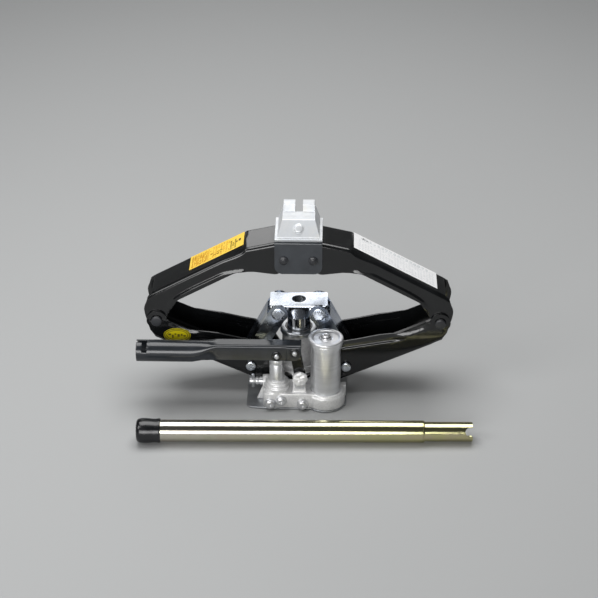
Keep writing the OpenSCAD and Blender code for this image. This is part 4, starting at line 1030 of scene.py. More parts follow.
@dataclass(frozen=True)
class JackSizes:
    """Places that several sub-assemblies share, in millimetres and degrees at rest."""

    pitch: float = 180.0
    link_reach: float = 47.5
    rest: float = 28.6
    pivot_x: float = 18.0
    pivot_z: float = 16.0
    sheet_half: float = 30.1
    bracket_top: float = 212.93
    pump_x: float = -26.2
    pump_y: float = -55.5

    def on_arm(self, reach: float) -> tuple[float, float]:
        """Distance from the middle, and height, of a place on the lower arm's middle line."""
        angle = math.radians(self.rest)
        return self.pivot_x + reach * math.cos(angle), self.pivot_z + reach * math.sin(angle)

    @property
    def elbow(self) -> tuple[float, float]:
        """Distance of an elbow pin from the middle, and its height."""
        return self.on_arm(self.pitch)

    @property
    def saddle_z(self) -> float:
        """Height of the saddle pins."""
        return self.pivot_z + 2 * self.pitch * math.sin(math.radians(self.rest))

    def frame(self, side: Side, home: Side, x: float, z: float) -> Matrix:
        """Local frame of an arm, in metres, with x along the arm.

        Args:
            side: The arm's side.
            home: The side where the frame stands without being mirrored.
            x: Its origin there, in millimetres.
            z: Its origin's height, in millimetres.

        Returns:
            The frame's matrix.
        """
        turn = Matrix.Rotation(math.radians(-self.rest), 4, "Y")
        made = Matrix.Translation(Vector((x, 0, z)) * MM) @ turn
        return made if side is home else Matrix.Scale(-1, 4, Vector((1, 0, 0))) @ made


SIZES = JackSizes()
TO_VIEWER = Matrix.Rotation(math.radians(90), 4, "X")
TO_RIGHT = Matrix.Rotation(math.radians(90), 4, "Y")
SHEET_ANGLE = 42.0
TANK_FINISH = FINISHES[Slot.TANK_STEEL]


def across(x: float, y: float, z: float) -> tuple[Place, Place]:
    """A place for a head, and its direction, away from the middle plane."""
    return (x, y, z), (0.0, math.copysign(1.0, y), 0.0)


@dataclass(frozen=True)
class Arms:
    """The four pressed arms and their pins, in millimetres.

    Two numbers are the start and end of a slope, four those of a rise and a fall. Along
    and up are x and z in an arm's own frame, depth is the distance from the middle plane.
    The edges are lines. Those of the tip and the heel give how far the sheet reaches
    beyond the elbow pin at each height over it.
    """

    comb: float = 5.0
    edge_gap: float = 0.6
    lip_push: float = 1.9
    lip_along: Sequence[float] = (18, 28, 124, 134)
    lip_inward: Sequence[float] = (2.7, 5.8)
    lip_depth: Sequence[float] = (20, 23)
    dip: float = 1.8
    dip_along: Sequence[float] = (108, 132, 139, 145)
    dip_up: Sequence[float] = (26, 31)
    dip_depth: Sequence[float] = (19.5, 24.5)
    tip_run: float = 8.0
    step_x: float = 62.0
    step_z: float = 21.5
    step_turn: float = math.radians(18.1)
    step_start: Sequence[float] = (44, 60)
    joggle: float = 1.7
    joggle_over: Sequence[float] = (-0.4, 2.2)
    joggle_end: Sequence[float] = (114, 132)
    lean: float = 0.9
    lean_over: Sequence[float] = (2.0, 14.0)
    lean_end: Sequence[float] = (96, 140)
    lead: float = 1.8
    lead_along: Sequence[float] = (108, 138, 160, 168)
    lead_under: Sequence[float] = (-3.6, -0.2)
    outer_y: float = 29.0
    heel_run: float = 9.0
    heel_start: Sequence[float] = (150, 160)
    pin_end: float = 32.5
    pin_rise: float = 1.5
    inner_edge: Line = ((11.9, -3.3), (14.7, -0.6), (32.7, 10.1), (36.1, 11.5), (42.0, 13.0),
                        (60.0, 14.0), (104.0, 14.0), (138.0, 3.4))
    tip_edge: Line = ((-4, 11.6), (0, 12.3), (3, 13.0), (8, 15.2), (12.6, 16.9),
                      (17.6, 17.6), (22, 16.9), (26, 15.0), (31, 11.8))
    tip_round: Line = ((-4, 11.6), (0, 12.3), (3, 13.0), (8, 14.5), (12.6, 15.2),
                       (17.6, 15.0), (22, 13.9), (26, 12.4), (31, 10.4))
    heel_edge: Line = ((-24, -2.5), (-20, 6.5), (-17.9, 7.8), (-15, 9.75), (-12, 10.8),
                       (-6.5, 10.9))
    heel_tuck: Line = ((-24, 1.5), (-20, 2.6), (-15, 2.6), (-10, 1.6), (-5, 0))
    top_edge: Line = ((58, 33), (77, 27), (104, 19.5), (137, 7.3), (150, 5.2), (166, 5.2))

    def build(self) -> None:
        """Builds and dresses all of them."""
        for side in (Side.LEFT, Side.RIGHT):
            self._upper(side)
            self._lower(side)
            self._pins(side)

    @staticmethod
    def _arm(node: str, levels: Line, rounding: tuple[float, int, float],
             combs: Sequence[tuple[Matrix, Cuts]],
             push: Callable[[Vector], Vector]) -> None:
        """Copies, rounds, cuts and presses one arm, and publishes it.

        Args:
            node: The arm's CAD node.
            levels: Levels for Shop.node_copy.
            rounding: Width, segments and angle for Shop.rounded.
            combs: A frame and steps for each Shop.combed.
            push: What the press does, for Shop.pressed.
        """
        piece = Shop.node_copy(node, f"{node}_sheet", levels)
        Shop.rounded(piece, *rounding, harden=False)
        for place, steps in combs:
            Shop.combed(piece, place, steps)
        Shop.pressed(piece, push)
        publish(Shop.smooth(piece, SHEET_ANGLE), node, node)

    @staticmethod
    def _from_elbow(point: Vector) -> tuple[float, float]:
        """How far a point lies beyond the elbow pin and over it, in millimetres."""
        x, z = SIZES.elbow
        return abs(point.x) / MM - x, point.z / MM - z

    def _upper(self, side: Side) -> None:
        """One upper arm, with the lip along its lower edge pressed outwards."""
        x, z = SIZES.elbow
        place = SIZES.frame(side, Side.LEFT, -x, z)
        back = place.inverted()
        along_cuts = [*np.arange(4.0, 124.0, self.comb), 126, 128, 130, 132, 134, 138, 144, 150,
                      160]
        up_cuts = [2, 5, 7.5, 9, 10.5, *range(12, 21), 22, 26]

        def push(point: Vector) -> Vector:
            """How far the press moved a point."""
            local = back @ point / MM
            along, up, depth = local.x, local.z, abs(point.y) / MM
            inward = line_distance(along, up, self.inner_edge)
            lip = ((1 - ease(inward, *self.lip_inward)) * plateau(along, *self.lip_along)
                   * self.lip_push * ease(depth, *self.lip_depth))
            dip = (ease(depth, *self.dip_depth) * ease(up, *self.dip_up)
                   * plateau(along, *self.dip_along) * self.dip)
            drop = place.to_3x3() @ Vector((0, 0, -dip * MM))
            reach, high = self._from_elbow(point)
            edge = follow(self.tip_edge, high)
            over = max(0.0, edge - follow(self.tip_round, high))
            tuck = over * ease(reach, edge - self.tip_run, edge - self.edge_gap)
            drop.x -= math.copysign(tuck * MM, point.x)
            return drop + Vector((0, math.copysign(lip * MM, point.y), 0))

        self._arm(f"upper_arm_{side.word}", [(26.1, 26.8)], (1.1, 4, 35.0),
                  [(place, [(0, along_cuts), (2, up_cuts)])], push)

    def _lower(self, side: Side) -> None:
        """One lower arm, whose upper band is stepped and leans inwards."""
        place = SIZES.frame(side, Side.RIGHT, SIZES.pivot_x, SIZES.pivot_z)
        back = place.inverted()
        slope, level = math.tan(self.step_turn), math.cos(self.step_turn)
        skew = place @ Matrix.Rotation(self.step_turn, 4, "Y")
        rows = [(self.step_z + self.step_x * slope) * level + step
                for step in (-0.6, 0, 0.6, 1.2, 1.8, 2.4, 4, 6, 9, 12)]

        def push(point: Vector) -> Vector:
            """How far the press moved a point."""
            local = back @ point / MM
            along, up = local.x, local.z
            over = (up - self.step_z + (along - self.step_x) * slope) * level
            joggle = ease(over, *self.joggle_over) * (1 - ease(along, *self.joggle_end))
            lean = ease(over, *self.lean_over) * (1 - ease(along, *self.lean_end))
            band = (joggle * self.joggle + lean * self.lean) * ease(along, *self.step_start)
            if abs(point.y) > self.outer_y * MM:
                under = up - follow(self.top_edge, along)
                band += (ease(under, *self.lead_under) * plateau(along, *self.lead_along)
                         * self.lead)
            reach, high = self._from_elbow(point)
            edge = follow(self.heel_edge, high)
            tuck = (follow(self.heel_tuck, high) * ease(along, *self.heel_start)
                    * ease(reach, edge - self.heel_run, edge - self.edge_gap))
            return Vector((-math.copysign(tuck, point.x), -math.copysign(band, point.y), 0)) * MM

        self._arm(f"lower_arm_{side.word}", [(27.2, 27.1), (29.4, 30.1)], (0.7, 3, 50.0),
                  [(place, [(0, np.arange(6.0, 178.0, self.comb)),
                            (2, [-6, 0, 4, 6, 8, 10, 12, 16, 20, 24, 28])]),
                   (skew, [(2, rows)])], push)

    def _pins(self, side: Side) -> None:
        """The elbow pin and link pin, with domed ends over the CAD pins' heads."""
        for name, (x, z), radius in (("elbow_pin", SIZES.elbow, 6.6),
                                     ("link_pin", SIZES.on_arm(SIZES.link_reach), 6.1)):
            node = f"{name}_{side.word}"
            dress(node, f"{node}_shaft", 0.5)
            domed_heads(f"{node}_ends", node, [across(side.value * x, y, z)
                                               for y in (-self.pin_end, self.pin_end)],
                        (radius, self.pin_rise))


@dataclass(frozen=True)
class Print:
    """Rows of bars on a label, in millimetres.

    The middle is the distance from the elbow pin, and from the label's middle to the rear.
    """

    name: str
    side: Side
    middle: tuple[float, float]
    size: tuple[float, float]
    count: tuple[int, int]
    bar: float
    seed: int
    ink: Film


@dataclass(frozen=True)
class Labels:
    """The two labels on the upper arms and the oval sticker, with generic print."""

    film: float = 34.3
    ink: float = 0.06
    prints: tuple[Print, ...] = (
        Print("warning_small_print", Side.LEFT, (95.0, 0.0), (52, 26), (15, 9), 1.5, 7,
              SOFT_INK),
        Print("warning_dense_print", Side.LEFT, (79.0, -2.0), (20, 24), (8, 10), 1.7, 17,
              SOFT_INK),
        Print("warning_block_print", Side.LEFT, (127.0, -3.0), (6, 20), (3, 7), 2.0, 11,
              OLIVE_INK),
        Print("warning_mark_print", Side.LEFT, (134.0, 1.5), (4, 3), (2, 2), 2.6, 5, INK),
        Print("warning_arrow_print", Side.LEFT, (103.0, -5.0), (13, 5), (4, 2), 1.6, 3,
              OLIVE_INK),
        Print("instruction_small_print", Side.RIGHT, (82.0, -2.0), (104, 27), (26, 9), 0.8, 5,
              GREY_INK),
        Print("instruction_head_print", Side.RIGHT, (84.0, 14.0), (92, 3.0), (17, 2), 1.6, 9,
              GREY_INK),
        Print("instruction_mark_print", Side.RIGHT, (126.0, 13.5), (5, 2), (2, 2), 1.5, 4,
              INK))
    rings: tuple[tuple[tuple[float, float], tuple[float, float]], ...] = (
        ((16.4, 9.4), (15.0, 8.3)), ((13.7, 7.1), (12.7, 6.3)))
    ring_sides: int = 72
    marks: tuple[tuple[float, float, float, float], ...] = (
        (-9.5, 1.2, 3.4, 2.6), (-5.6, -1.6, 2.2, 4.6), (-2.2, 1.4, 2.6, 2.2),
        (1.6, -0.4, 3.0, 3.8), (5.6, 0.6, 2.2, 3.0), (9.2, -0.8, 3.0, 2.4))

    def build(self) -> None:
        """Builds the films and their print."""
        for node in ("warning_label", "instruction_label"):
            dress(node, f"{node}_film", 0.12)
        for text in self.prints:
            self._rows(text)
        dress("round_sticker", "oval_sticker_film", 0.1)
        self._oval_print()

    def _rows(self, text: Print) -> None:
        """Builds one print on its label."""
        piece = Shop.from_faces(text.name, [(0, 0, 0), (1, 0, 0), (0, 1, 0)], [(0, 1, 2)])
        Trees.run("print_rows", piece, Length=text.size[0] * MM, Width=text.size[1] * MM,
                  Columns=text.count[0], Rows=text.count[1], Bar_Height=text.bar * MM,
                  Bar_Depth=self.ink * 2 * MM, Seed=text.seed, Material=text.ink.material())
        label = "warning_label" if text.side is Side.LEFT else "instruction_label"
        low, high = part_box(label)
        centre = (low[1] + high[1]) / 2 / MM
        x, z = SIZES.elbow
        sign = -text.side.value
        turn = Matrix.Rotation(math.radians(-SIZES.rest * sign), 4, "Y")
        shift = Vector((sign * text.middle[0], centre + text.middle[1], self.film)) * MM
        piece.data.transform(Matrix.Translation(Vector((-sign * x, 0, z)) * MM) @ turn
                             @ Matrix.Translation(shift))
        publish(piece, label)

    def _oval_print(self) -> None:
        """Two rings and a few marks on the oval sticker."""
        low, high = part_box("round_sticker")
        foot = Vector((low[0] + high[0], 2 * low[1], low[2] + high[2])) / 2 / MM
        points: list[Place] = []
        faces: list[list[int]] = []
        sides = self.ring_sides
        for ring in self.rings:
            start = len(points)
            points += [(wide * x, -depth, high * z) for depth in (0.0, self.ink)
                       for wide, high in ring for x, z in around(sides)]
            faces += [[start + a * sides + k, start + a * sides + (k + 1) % sides,
                       start + b * sides + (k + 1) % sides, start + b * sides + k]
                      for a, b in ((2, 3), (3, 1), (1, 0), (0, 2)) for k in range(sides)]
        for left, low, wide, high in self.marks:
            start = len(points)
            points += [(left + wide * x, -depth, low + high * z) for depth in (0.0, self.ink)
                       for x, z in ((-0.5, -0.5), (0.5, -0.5), (0.5, 0.5), (-0.5, 0.5))]
            faces += [[start + k for k in (3, 2, 1, 0)], [start + k for k in (4, 5, 6, 7)]]
            faces += [[start + k, start + (k + 1) % 4, start + 4 + (k + 1) % 4, start + 4 + k]
                      for k in range(4)]
        placed = [tuple(foot + Vector(point)) for point in points]
        piece = Shop.from_faces("oval_sticker_print", placed, faces, True)
        publish(piece, "round_sticker", finish=OLIVE_INK)


@dataclass(frozen=True)
class Saddle:
    """Bracket, zinc plate and forked head with its rivet."""

    bend: float = 2.4
    plate_tuck: float = 2.3
    head_z: float = 219.03
    ledge_z: float = 236.03
    head_y: float = -13.4
    front_y: float = -27.9
    pin_end: float = 32.0
    pin_size: tuple[float, float] = (3.7, 1.6)

    def build(self) -> None:
        """Builds and dresses the saddle."""
        dress("saddle_bracket", "saddle_bracket_sheet", 0.5, 2, 50.0, finish=BRACKET_PAINT,
              work=lambda piece: Shop.bent(piece, SIZES.bracket_top, SIZES.sheet_half,
                                           self.bend, 5))
        dress("saddle_pins", "saddle_pin_shafts")
        domed_heads("saddle_pin_ends", "saddle_pins",
                    [across(side * SIZES.pivot_x, y, SIZES.saddle_z)
                     for side in (-1, 1) for y in (-self.pin_end, self.pin_end)],
                    self.pin_size)
        dress("saddle_base", "saddle_base_plate", 0.6, 3, 30.0, work=self._narrow_foot)
        dress("saddle_head", "saddle_head_fork", 0.8, 3, 30.0)
        self._rivet()

    def _narrow_foot(self, plate: Piece) -> None:
        """Draws the zinc plate's foot in, which leaves the shadow line over the bracket."""
        for vert in plate.data.vertices:
            if vert.co.z < (SIZES.bracket_top + 0.3) * MM:
                vert.co.y -= math.copysign(self.plate_tuck * MM, vert.co.y)

    def _rivet(self) -> None:
        """The round boss in the sloped front: a soft dome with a groove round its foot."""
        rise, run = self.ledge_z - self.head_z, self.head_y - self.front_y
        turning("saddle_rivet_turned", "saddle_rivet",
                [(0, -6), (5.2, -6), (5.2, -0.5), (6.6, -0.5), (6.7, 0.05), (6.3, 0.15),
                 (5.9, 0.0), (5.7, 0.4), (5.6, 1.2), (5.2, 1.75), (4.4, 2.1), (3.0, 2.35),
                 (1.5, 2.45), (0, 2.5)],
                (0.0, self.head_y - run / 2, self.head_z + rise / 2), "saddle_rivet",
                sides=56, lie=Matrix.Rotation(math.atan2(rise, run), 4, "X"))


@dataclass(frozen=True)
class Crosshead:
    """Ram, crosshead, its bolts and nuts, and the two links."""

    bolt_x: float = 25.0
    bolt_z: float = 107.2
    half_depth: float = 17.6
    top: float = 118.5
    link_face: float = -20.5
    washer: float = 0.9
    bend: float = 2.2

    def build(self) -> None:
        """Builds and dresses all of them."""
        dress("crosshead", "crosshead_sheet", 0.5, 2, 50.0,
              work=lambda piece: Shop.bent(piece, self.top, self.half_depth, self.bend, 4))
        dress("crosshead_bolts", "crosshead_bolt_shafts", 0.3)
        dress("crosshead_nuts", "crosshead_nut_bodies", 0.3)
        for name, y, size in (("washers", self.link_face, (8.4, 1.4)),
                              ("bolt_heads", self.link_face - self.washer, (5.6, 2.2))):
            domed_heads(f"crosshead_{name}", "crosshead_bolts",
                        [across(side * self.bolt_x, y, self.bolt_z) for side in (-1, 1)], size)
        for word in ("left", "right"):
            Shop.smooth(dress(f"link_{word}", f"link_{word}_sheet", 0.9, 3, harden=False,
                              finish=LINK_ZINC), SHEET_ANGLE)


@dataclass(frozen=True)
class Pump:
    """Casting, reservoir, barrel, plugs and release valve."""

    voxel: float = 1.0
    cast_foot: float = 2.5
    skin_wave: tuple[float, float] = (14, 0.22)
    pebble: float = 3.6
    pebble_height: float = 0.07
    clevis: Place = (2.2, -55.5, 42.3)
    clevis_height: float = 0.45
    clevis_reach: tuple[float, float] = (9, 15)
    lump: Place = (2.6, -64.4, 42.6)
    lump_mesh: float = 0.55
    lump_waves: tuple[tuple[float, float], ...] = ((4.6, 1.15), (1.9, 0.45))
    block_y: tuple[float, float] = (-69.6, -60.0)
    plug_y: float = -71.2
    plugs: tuple[tuple[float, float], ...] = ((-34.4, 9.0), (-20.7, 13.2), (6.1, 8.6))

    def build(self) -> None:
        """Builds and dresses all of them."""
        self._casting()
        self._reservoir()
        self._barrel()
        self._plugs()
        self._clevis()
        self._valve()
        Shop.smooth(dress("base_plate", "base_plate_sheet", 0.8, 3), SHEET_ANGLE)

    def _casting(self) -> None:
        """The sand-cast base, with soft corners and a slightly uneven skin."""
        piece = Shop.node_copy("base_casting", "base_casting_cast")
        mod = piece.modifiers.new("skin", "REMESH")
        mod.mode = "VOXEL"
        mod.voxel_size = self.voxel * MM
        mod.use_smooth_shade = True
        mod = piece.modifiers.new("soften", "SMOOTH")
        mod.factor = 0.5
        mod.iterations = 3
        Shop.bake(piece)
        clevis = Vector(self.clevis) * MM

        def push(point: Vector) -> Vector:
            """The mould's unevenness, which is rougher near the clevis."""
            near = 1 - ease((point - clevis).length / MM, *self.clevis_reach)
            height = self.pebble_height + self.clevis_height * near
            return rough_skin(point, self.skin_wave, (self.pebble, height))

        Shop.pressed(piece, push)
        for vert in piece.data.vertices:
            vert.co.z = max(vert.co.z, self.cast_foot * MM)
        publish(Shop.smooth(piece, 60.0), "base_casting", "base_casting")

    def _reservoir(self) -> None:
        """The reservoir's tube, its pressed cap and the filler plug."""
        turning("reservoir_tube_turned", "reservoir_tube",
                [(16.7, 14.0), (18.3, 14.0), (18.7, 14.4), (18.7, 89.6), (18.4, 90.0),
                 (16.7, 90.0)], TANK_FOOT, "reservoir_tube", sides=128)
        turning("reservoir_cap_turned", "reservoir_cap",
                [(18.75, 83.6), (19.7, 83.6), (20.1, 83.9), (20.1, 85.6), (20.0, 86.2),
                 (20.4, 86.5), (20.9, 86.8), (21.0, 87.2), (21.0, 89.3), (20.8, 89.8),
                 (21.3, 90.1), (21.8, 90.4), (22.0, 90.9), (22.0, 93.4), (21.7, 94.2),
                 (21.1, 94.7), (20.3, 94.8), (17.9, 94.8), (17.2, 94.6), (16.5, 94.1),
                 (15.6, 93.75), (14.0, 93.6), (9.6, 93.5), (8.6, 93.4), (8.1, 93.0),
                 (7.4, 92.8), (6.8, 93.1), (4.6, 93.1), (4.6, 89.0), (16.0, 89.0),
                 (18.75, 89.0)], TANK_FOOT, "reservoir_cap", sides=128)
        turning("filler_plug_turned", "filler_plug",
                [(0, 87.2), (4.5, 87.2), (4.5, 92.6), (5.9, 92.8), (6.1, 93.2), (6.1, 94.6),
                 (5.8, 95.1), (5.0, 95.4), (4.9, 95.8), (5.1, 96.2), (5.1, 97.0), (4.7, 97.7),
                 (3.9, 98.2), (2.9, 98.3), (2.4, 98.0), (2.1, 97.4), (2.0, 94.0), (0, 93.4)],
                TANK_FOOT, "filler_plug", sides=64, slot=Slot.TANK_STEEL)

    @staticmethod
    def _barrel() -> None:
        """The pump barrel and the flared collars at its foot."""
        foot = (SIZES.pump_x, SIZES.pump_y, 0.0)
        turning("pump_collars", "base_casting",
                [(9.25, 24.0), (15.0, 24.0), (16.2, 26.3), (16.4, 27.2), (16.0, 27.9),
                 (15.2, 28.2), (14.3, 28.6), (13.7, 29.6), (14.1, 31.2), (14.3, 31.9),
                 (13.9, 32.6), (13.1, 32.9), (12.4, 33.3), (11.9, 34.2), (12.1, 35.4),
                 (12.0, 36.1), (11.4, 36.6), (10.2, 36.9), (9.25, 37.0)], foot)
        turning("pump_barrel_turned", "pump_barrel",
                [(6.1, 31.0), (9.2, 31.0), (9.2, 58.6), (8.95, 59.0), (9.2, 59.4), (9.2, 64.4),
                 (8.9, 65.2), (8.2, 65.6), (7.0, 65.6), (6.1, 65.3)], foot,
                "pump_barrel", "pump_gland")

    def _plugs(self) -> None:
        """Three domed plugs with centre dimples in the front of the casting."""
        profile = [(0, -7.0), (3.9, -7.0), (3.9, 0.0), (6.7, 0.0), (7.1, 0.5), (7.1, 1.2),
                   (6.6, 1.7), (6.5, 3.0), (6.2, 4.2), (5.6, 5.2), (4.7, 5.9), (3.6, 6.3),
                   (2.6, 6.35), (1.9, 6.1), (1.4, 5.4), (0.9, 4.8), (0, 4.6)]
        for number, (x, z) in enumerate(self.plugs, 1):
            turning(f"front_plug_{number}", "front_plugs", profile, (x, self.plug_y, z),
                    *(["front_plugs"] if number == 1 else []), sides=48, lie=TO_VIEWER,
                    finish=TANK_FINISH)

    def _clevis(self) -> None:
        """The rough cast lump in front of the clevis, and the block at its foot."""
        profile = [(0, 0), (8.2, 0), (9.0, 0.8), (9.3, 2.2), (9.1, 3.6), (8.4, 4.8), (7.2, 5.6),
                   (5.4, 6.1), (3.4, 6.3), (0, 6.2)]
        dense: list[tuple[float, float]] = []
        for start, stop in zip(profile, profile[1:]):
            count = max(1, int(math.dist(start, stop) / self.lump_mesh))
            dense += [(start[0] + (stop[0] - start[0]) * k / count,
                       start[1] + (stop[1] - start[1]) * k / count) for k in range(count)]
        lump = Shop.turned("clevis_lump", [*dense, profile[-1]], self.lump, lie=TO_VIEWER)
        Shop.pressed(lump, lambda point: rough_skin(point, *self.lump_waves))
        publish(Shop.smooth(lump, 60.0), "base_casting")
        block = [(-3.7, 28.6), (9.3, 28.2), (9.5, 33.0), (8.3, 36.6), (-2.3, 37.0), (-3.9, 33.6)]
        points = [(x, y, z) for y in self.block_y for x, z in block]
        faces = [list(range(6)), list(range(11, 5, -1))]
        faces += [[k, 6 + k, 6 + (k + 1) % 6, (k + 1) % 6] for k in range(6)]
        foot = Shop.from_faces("clevis_foot_block", points, faces, True)
        Shop.rounded(foot, 1.9, 5, 30.0)
        publish(Shop.smooth(foot, 60.0), "base_casting", finish=TANK_FINISH)

    @staticmethod
    def _valve() -> None:
        """The release valve's stem with its collars."""
        low, high = (Vector(corner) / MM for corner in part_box("valve_screw"))
        turning("valve_stem_turned", "valve_screw",
                [(0, 0.0), (2.9, 0.0), (3.6, 0.5), (3.8, 1.2), (3.8, 7.2), (3.5, 7.7),
                 (4.3, 8.0), (4.9, 8.6), (5.0, 9.2), (5.0, 10.6), (4.7, 11.2), (4.2, 11.6),
                 (4.2, 13.0), (4.9, 13.4), (5.0, 14.2), (5.0, 24.0), (4.2, 25.0), (0, 25.0)],
                (low.x, (low.y + high.y) / 2, (low.z + high.z) / 2), "valve_screw", sides=48,
                lie=TO_RIGHT, finish=TANK_FINISH)


@dataclass(frozen=True)
class PumpLever:
    """The lever: a rolled socket that opens into a pressed channel.

    Lengths are in millimetres, and heights are over the socket's axis. Round the section,
    u runs from -1, the rear edge, over 0, the top, to 1, the front edge.
    """

    left: float = -199.5
    round_end: float = -133.5
    channel: float = -97.5
    right: float = 4.0
    axis_z: float = 74.0
    radius: float = 13.6
    bore: float = 12.2
    half: float = 9.6
    sheet: float = 2.5
    low: float = -7.0
    corner: float = 3.2
    crease: float = 80.0
    seam: float = 179.2
    end_rise: float = 8.0
    end_start: float = -3.5
    end_curve: float = 1.8
    ear_step: float = 0.9
    ear_start: tuple[float, float] = (-15.5, -12.0)
    ear_over: tuple[float, float] = (0.9, 1.25)
    inner_corner: float = 0.7
    cells: int = 81
    cell_gap: float = 0.012
    slot_half: float = 3.1
    slot_in: float = 7.0
    slot_end: float = 13.2
    slot_turn: float = 72.0
    pins: tuple[tuple[str, float, float, float], ...] = (
        ("plunger", SIZES.pump_x, 73.4, 9.6), ("fulcrum", -3.9, 78.2, 10.4))

    @property
    def split(self) -> float:
        """Where the channel's corner lies between its middle, 0, and its edge, 1."""
        length = self.half - self.corner + self.corner * math.pi / 2
        return (length - self.corner * math.pi / 4) / (length + self.radius - self.corner
                                                       - self.low)

    def _arc(self, u: float, radius: float) -> tuple[float, float]:
        """A point of the round section, as y and z from the axis."""
        split, share = self.split, abs(u)
        if share < split:
            angle = self.crease * share / split
        else:
            angle = self.crease + (self.seam - self.crease) * (share - split) / (1 - split)
        turn = math.radians(angle) * math.copysign(1, u)
        return -radius * math.sin(turn), radius * math.cos(turn)

    def _channel(self, u: float, inset: float, low: float) -> tuple[float, float]:
        """A point of the channel section.

        Args:
            u: The place round the section.
            inset: Distance inside the outer skin.
            low: Height of the free edge.

        Returns:
            Its y and z from the axis.
        """
        half, top = self.half - inset, self.radius - inset
        corner = max(self.corner - inset, self.inner_corner)
        flat, bend = half - corner, corner * math.pi / 2
        split, share = self.split, abs(u)
        middle = flat + bend / 2
        if share < split:
            run = middle * share / split
        else:
            run = middle + (bend / 2 + top - corner - low) * (share - split) / (1 - split)
        if run < flat:
            y, z = run, top
        elif run < flat + bend:
            angle = (run - flat) / corner
            y, z = flat + corner * math.sin(angle), top - corner + corner * math.cos(angle)
        else:
            y, z = half, top - corner - (run - flat - bend)
        return -y * math.copysign(1, u), z

    def _point(self, x: float, u: float, inner: bool) -> Place:
        """One point of the lever's skin."""
        share = ease(x, self.round_end, self.channel)
        wall = self.radius - self.bore
        inset = (wall + (self.sheet - wall) * share) if inner else 0.0
        arc = self._arc(u, self.radius - inset)
        end = max(0.0, (x - self.end_start) / (self.right - self.end_start))
        rise = self.end_rise * end ** self.end_curve
        flat = self._channel(u, inset, self.low + rise)
        y, z = (round_ + (pressed - round_) * share for round_, pressed in zip(arc, flat))
        step = ease(x, *self.ear_start) * ease(abs(u) / self.split, *self.ear_over)
        y += math.copysign(self.ear_step * step, y)
        return x, SIZES.pump_y + y, self.axis_z + z

    def build(self) -> None:
        """Lofts the lever through its grid, leaves the slot out and dresses it."""
        scale = self.split / self.crease
        edge = math.degrees(self.slot_half / self.radius) * scale
        turn = self.slot_turn * scale
        us = sorted([-edge, edge, turn, *(
            u for u in np.linspace(-1, 1, self.cells)
            if all(abs(u - mark) > self.cell_gap for mark in (-edge, edge, turn)))])
        first, last = self.left + self.slot_in, self.left + self.slot_end
        xs = sorted({self.left, *(x for start, stop, count in (
            (self.left + 2, first, 3), (first, last, 4), (last + 4, self.round_end, 9),
            (self.round_end + 2, self.channel, 16), (self.channel + 8, -18, 9), (-16, -11, 6),
            (-9, self.right, 9)) for x in np.linspace(start, stop, count))})
        rows, columns = len(xs), len(us)

        def present(i: int, j: int) -> bool:
            """Whether a cell of the grid is sheet, and not slot or beyond the lever."""
            if not (0 <= i < rows - 1 and 0 <= j < columns - 1):
                return False
            x, u = (xs[i] + xs[i + 1]) / 2, (us[j] + us[j + 1]) / 2
            return not (x < last and abs(u) < edge or first < x < last and -edge < u < turn)

        def index(place: tuple[int, int], inner: bool) -> int:
            """Number of a grid point."""
            return (rows * columns if inner else 0) + place[0] * columns + place[1]

        points = [self._point(x, u, inner) for inner in (False, True) for x in xs for u in us]
        faces: list[list[int]] = []
        for i in range(rows - 1):
            for j in range(columns - 1):
                if not present(i, j):
                    continue
                ring = [(i, j), (i + 1, j), (i + 1, j + 1), (i, j + 1)]
                faces.append([index(place, False) for place in ring])
                faces.append([index(place, True) for place in reversed(ring)])
                beside = ((i, j - 1), (i + 1, j), (i, j + 1), (i - 1, j))
                for a, b, cell in zip(ring, ring[1:] + ring[:1], beside):
                    if not present(*cell):
                        faces.append([index(b, False), index(a, False), index(a, True),
                                      index(b, True)])
        piece = Shop.from_faces("pump_lever_pressed", points, faces)

        def tidy(bm: bmesh.types.BMesh) -> None:
            """Drops unused points and turns the faces outwards."""
            loose = [vert for vert in bm.verts if not vert.link_faces]
            bmesh.ops.delete(bm, geom=loose, context="VERTS")
            bmesh.ops.recalc_face_normals(bm, faces=bm.faces)

        Shop.edit(piece, tidy)
        Shop.rounded(piece, 0.35, 2, 60.0, harden=False)
        publish(Shop.smooth(piece, 50.0), "pump_lever", "pump_lever", finish=LEVER_PAINT)
        self._pin_rings()

    def _pin_rings(self) -> None:
        """Dark rings and bright pin ends at the lever's two pins."""
        ring = [(2.8, 0.0), (6.0, 0.0), (6.3, 0.3), (6.2, 0.9), (5.7, 1.2), (4.4, 1.25),
                (3.6, 1.0), (3.1, 0.5), (2.8, 0.4)]
        ends = []
        for name, x, z, face in self.pins:
            for word, sign in (("front", -1), ("rear", 1)):
                turning(f"{name}_ring_{word}", "pump_lever", ring,
                        (x, SIZES.pump_y + sign * face, z), sides=48,
                        lie=Matrix.Rotation(math.radians(-90 * sign), 4, "X"))
                ends.append(((x, SIZES.pump_y + sign * (face + 0.2), z), (0.0, float(sign), 0.0)))
        domed_heads("lever_pin_ends", "pump_lever", ends, (3.0, 2.4), Slot.MACHINED_STEEL,
                    TANK_FINISH)


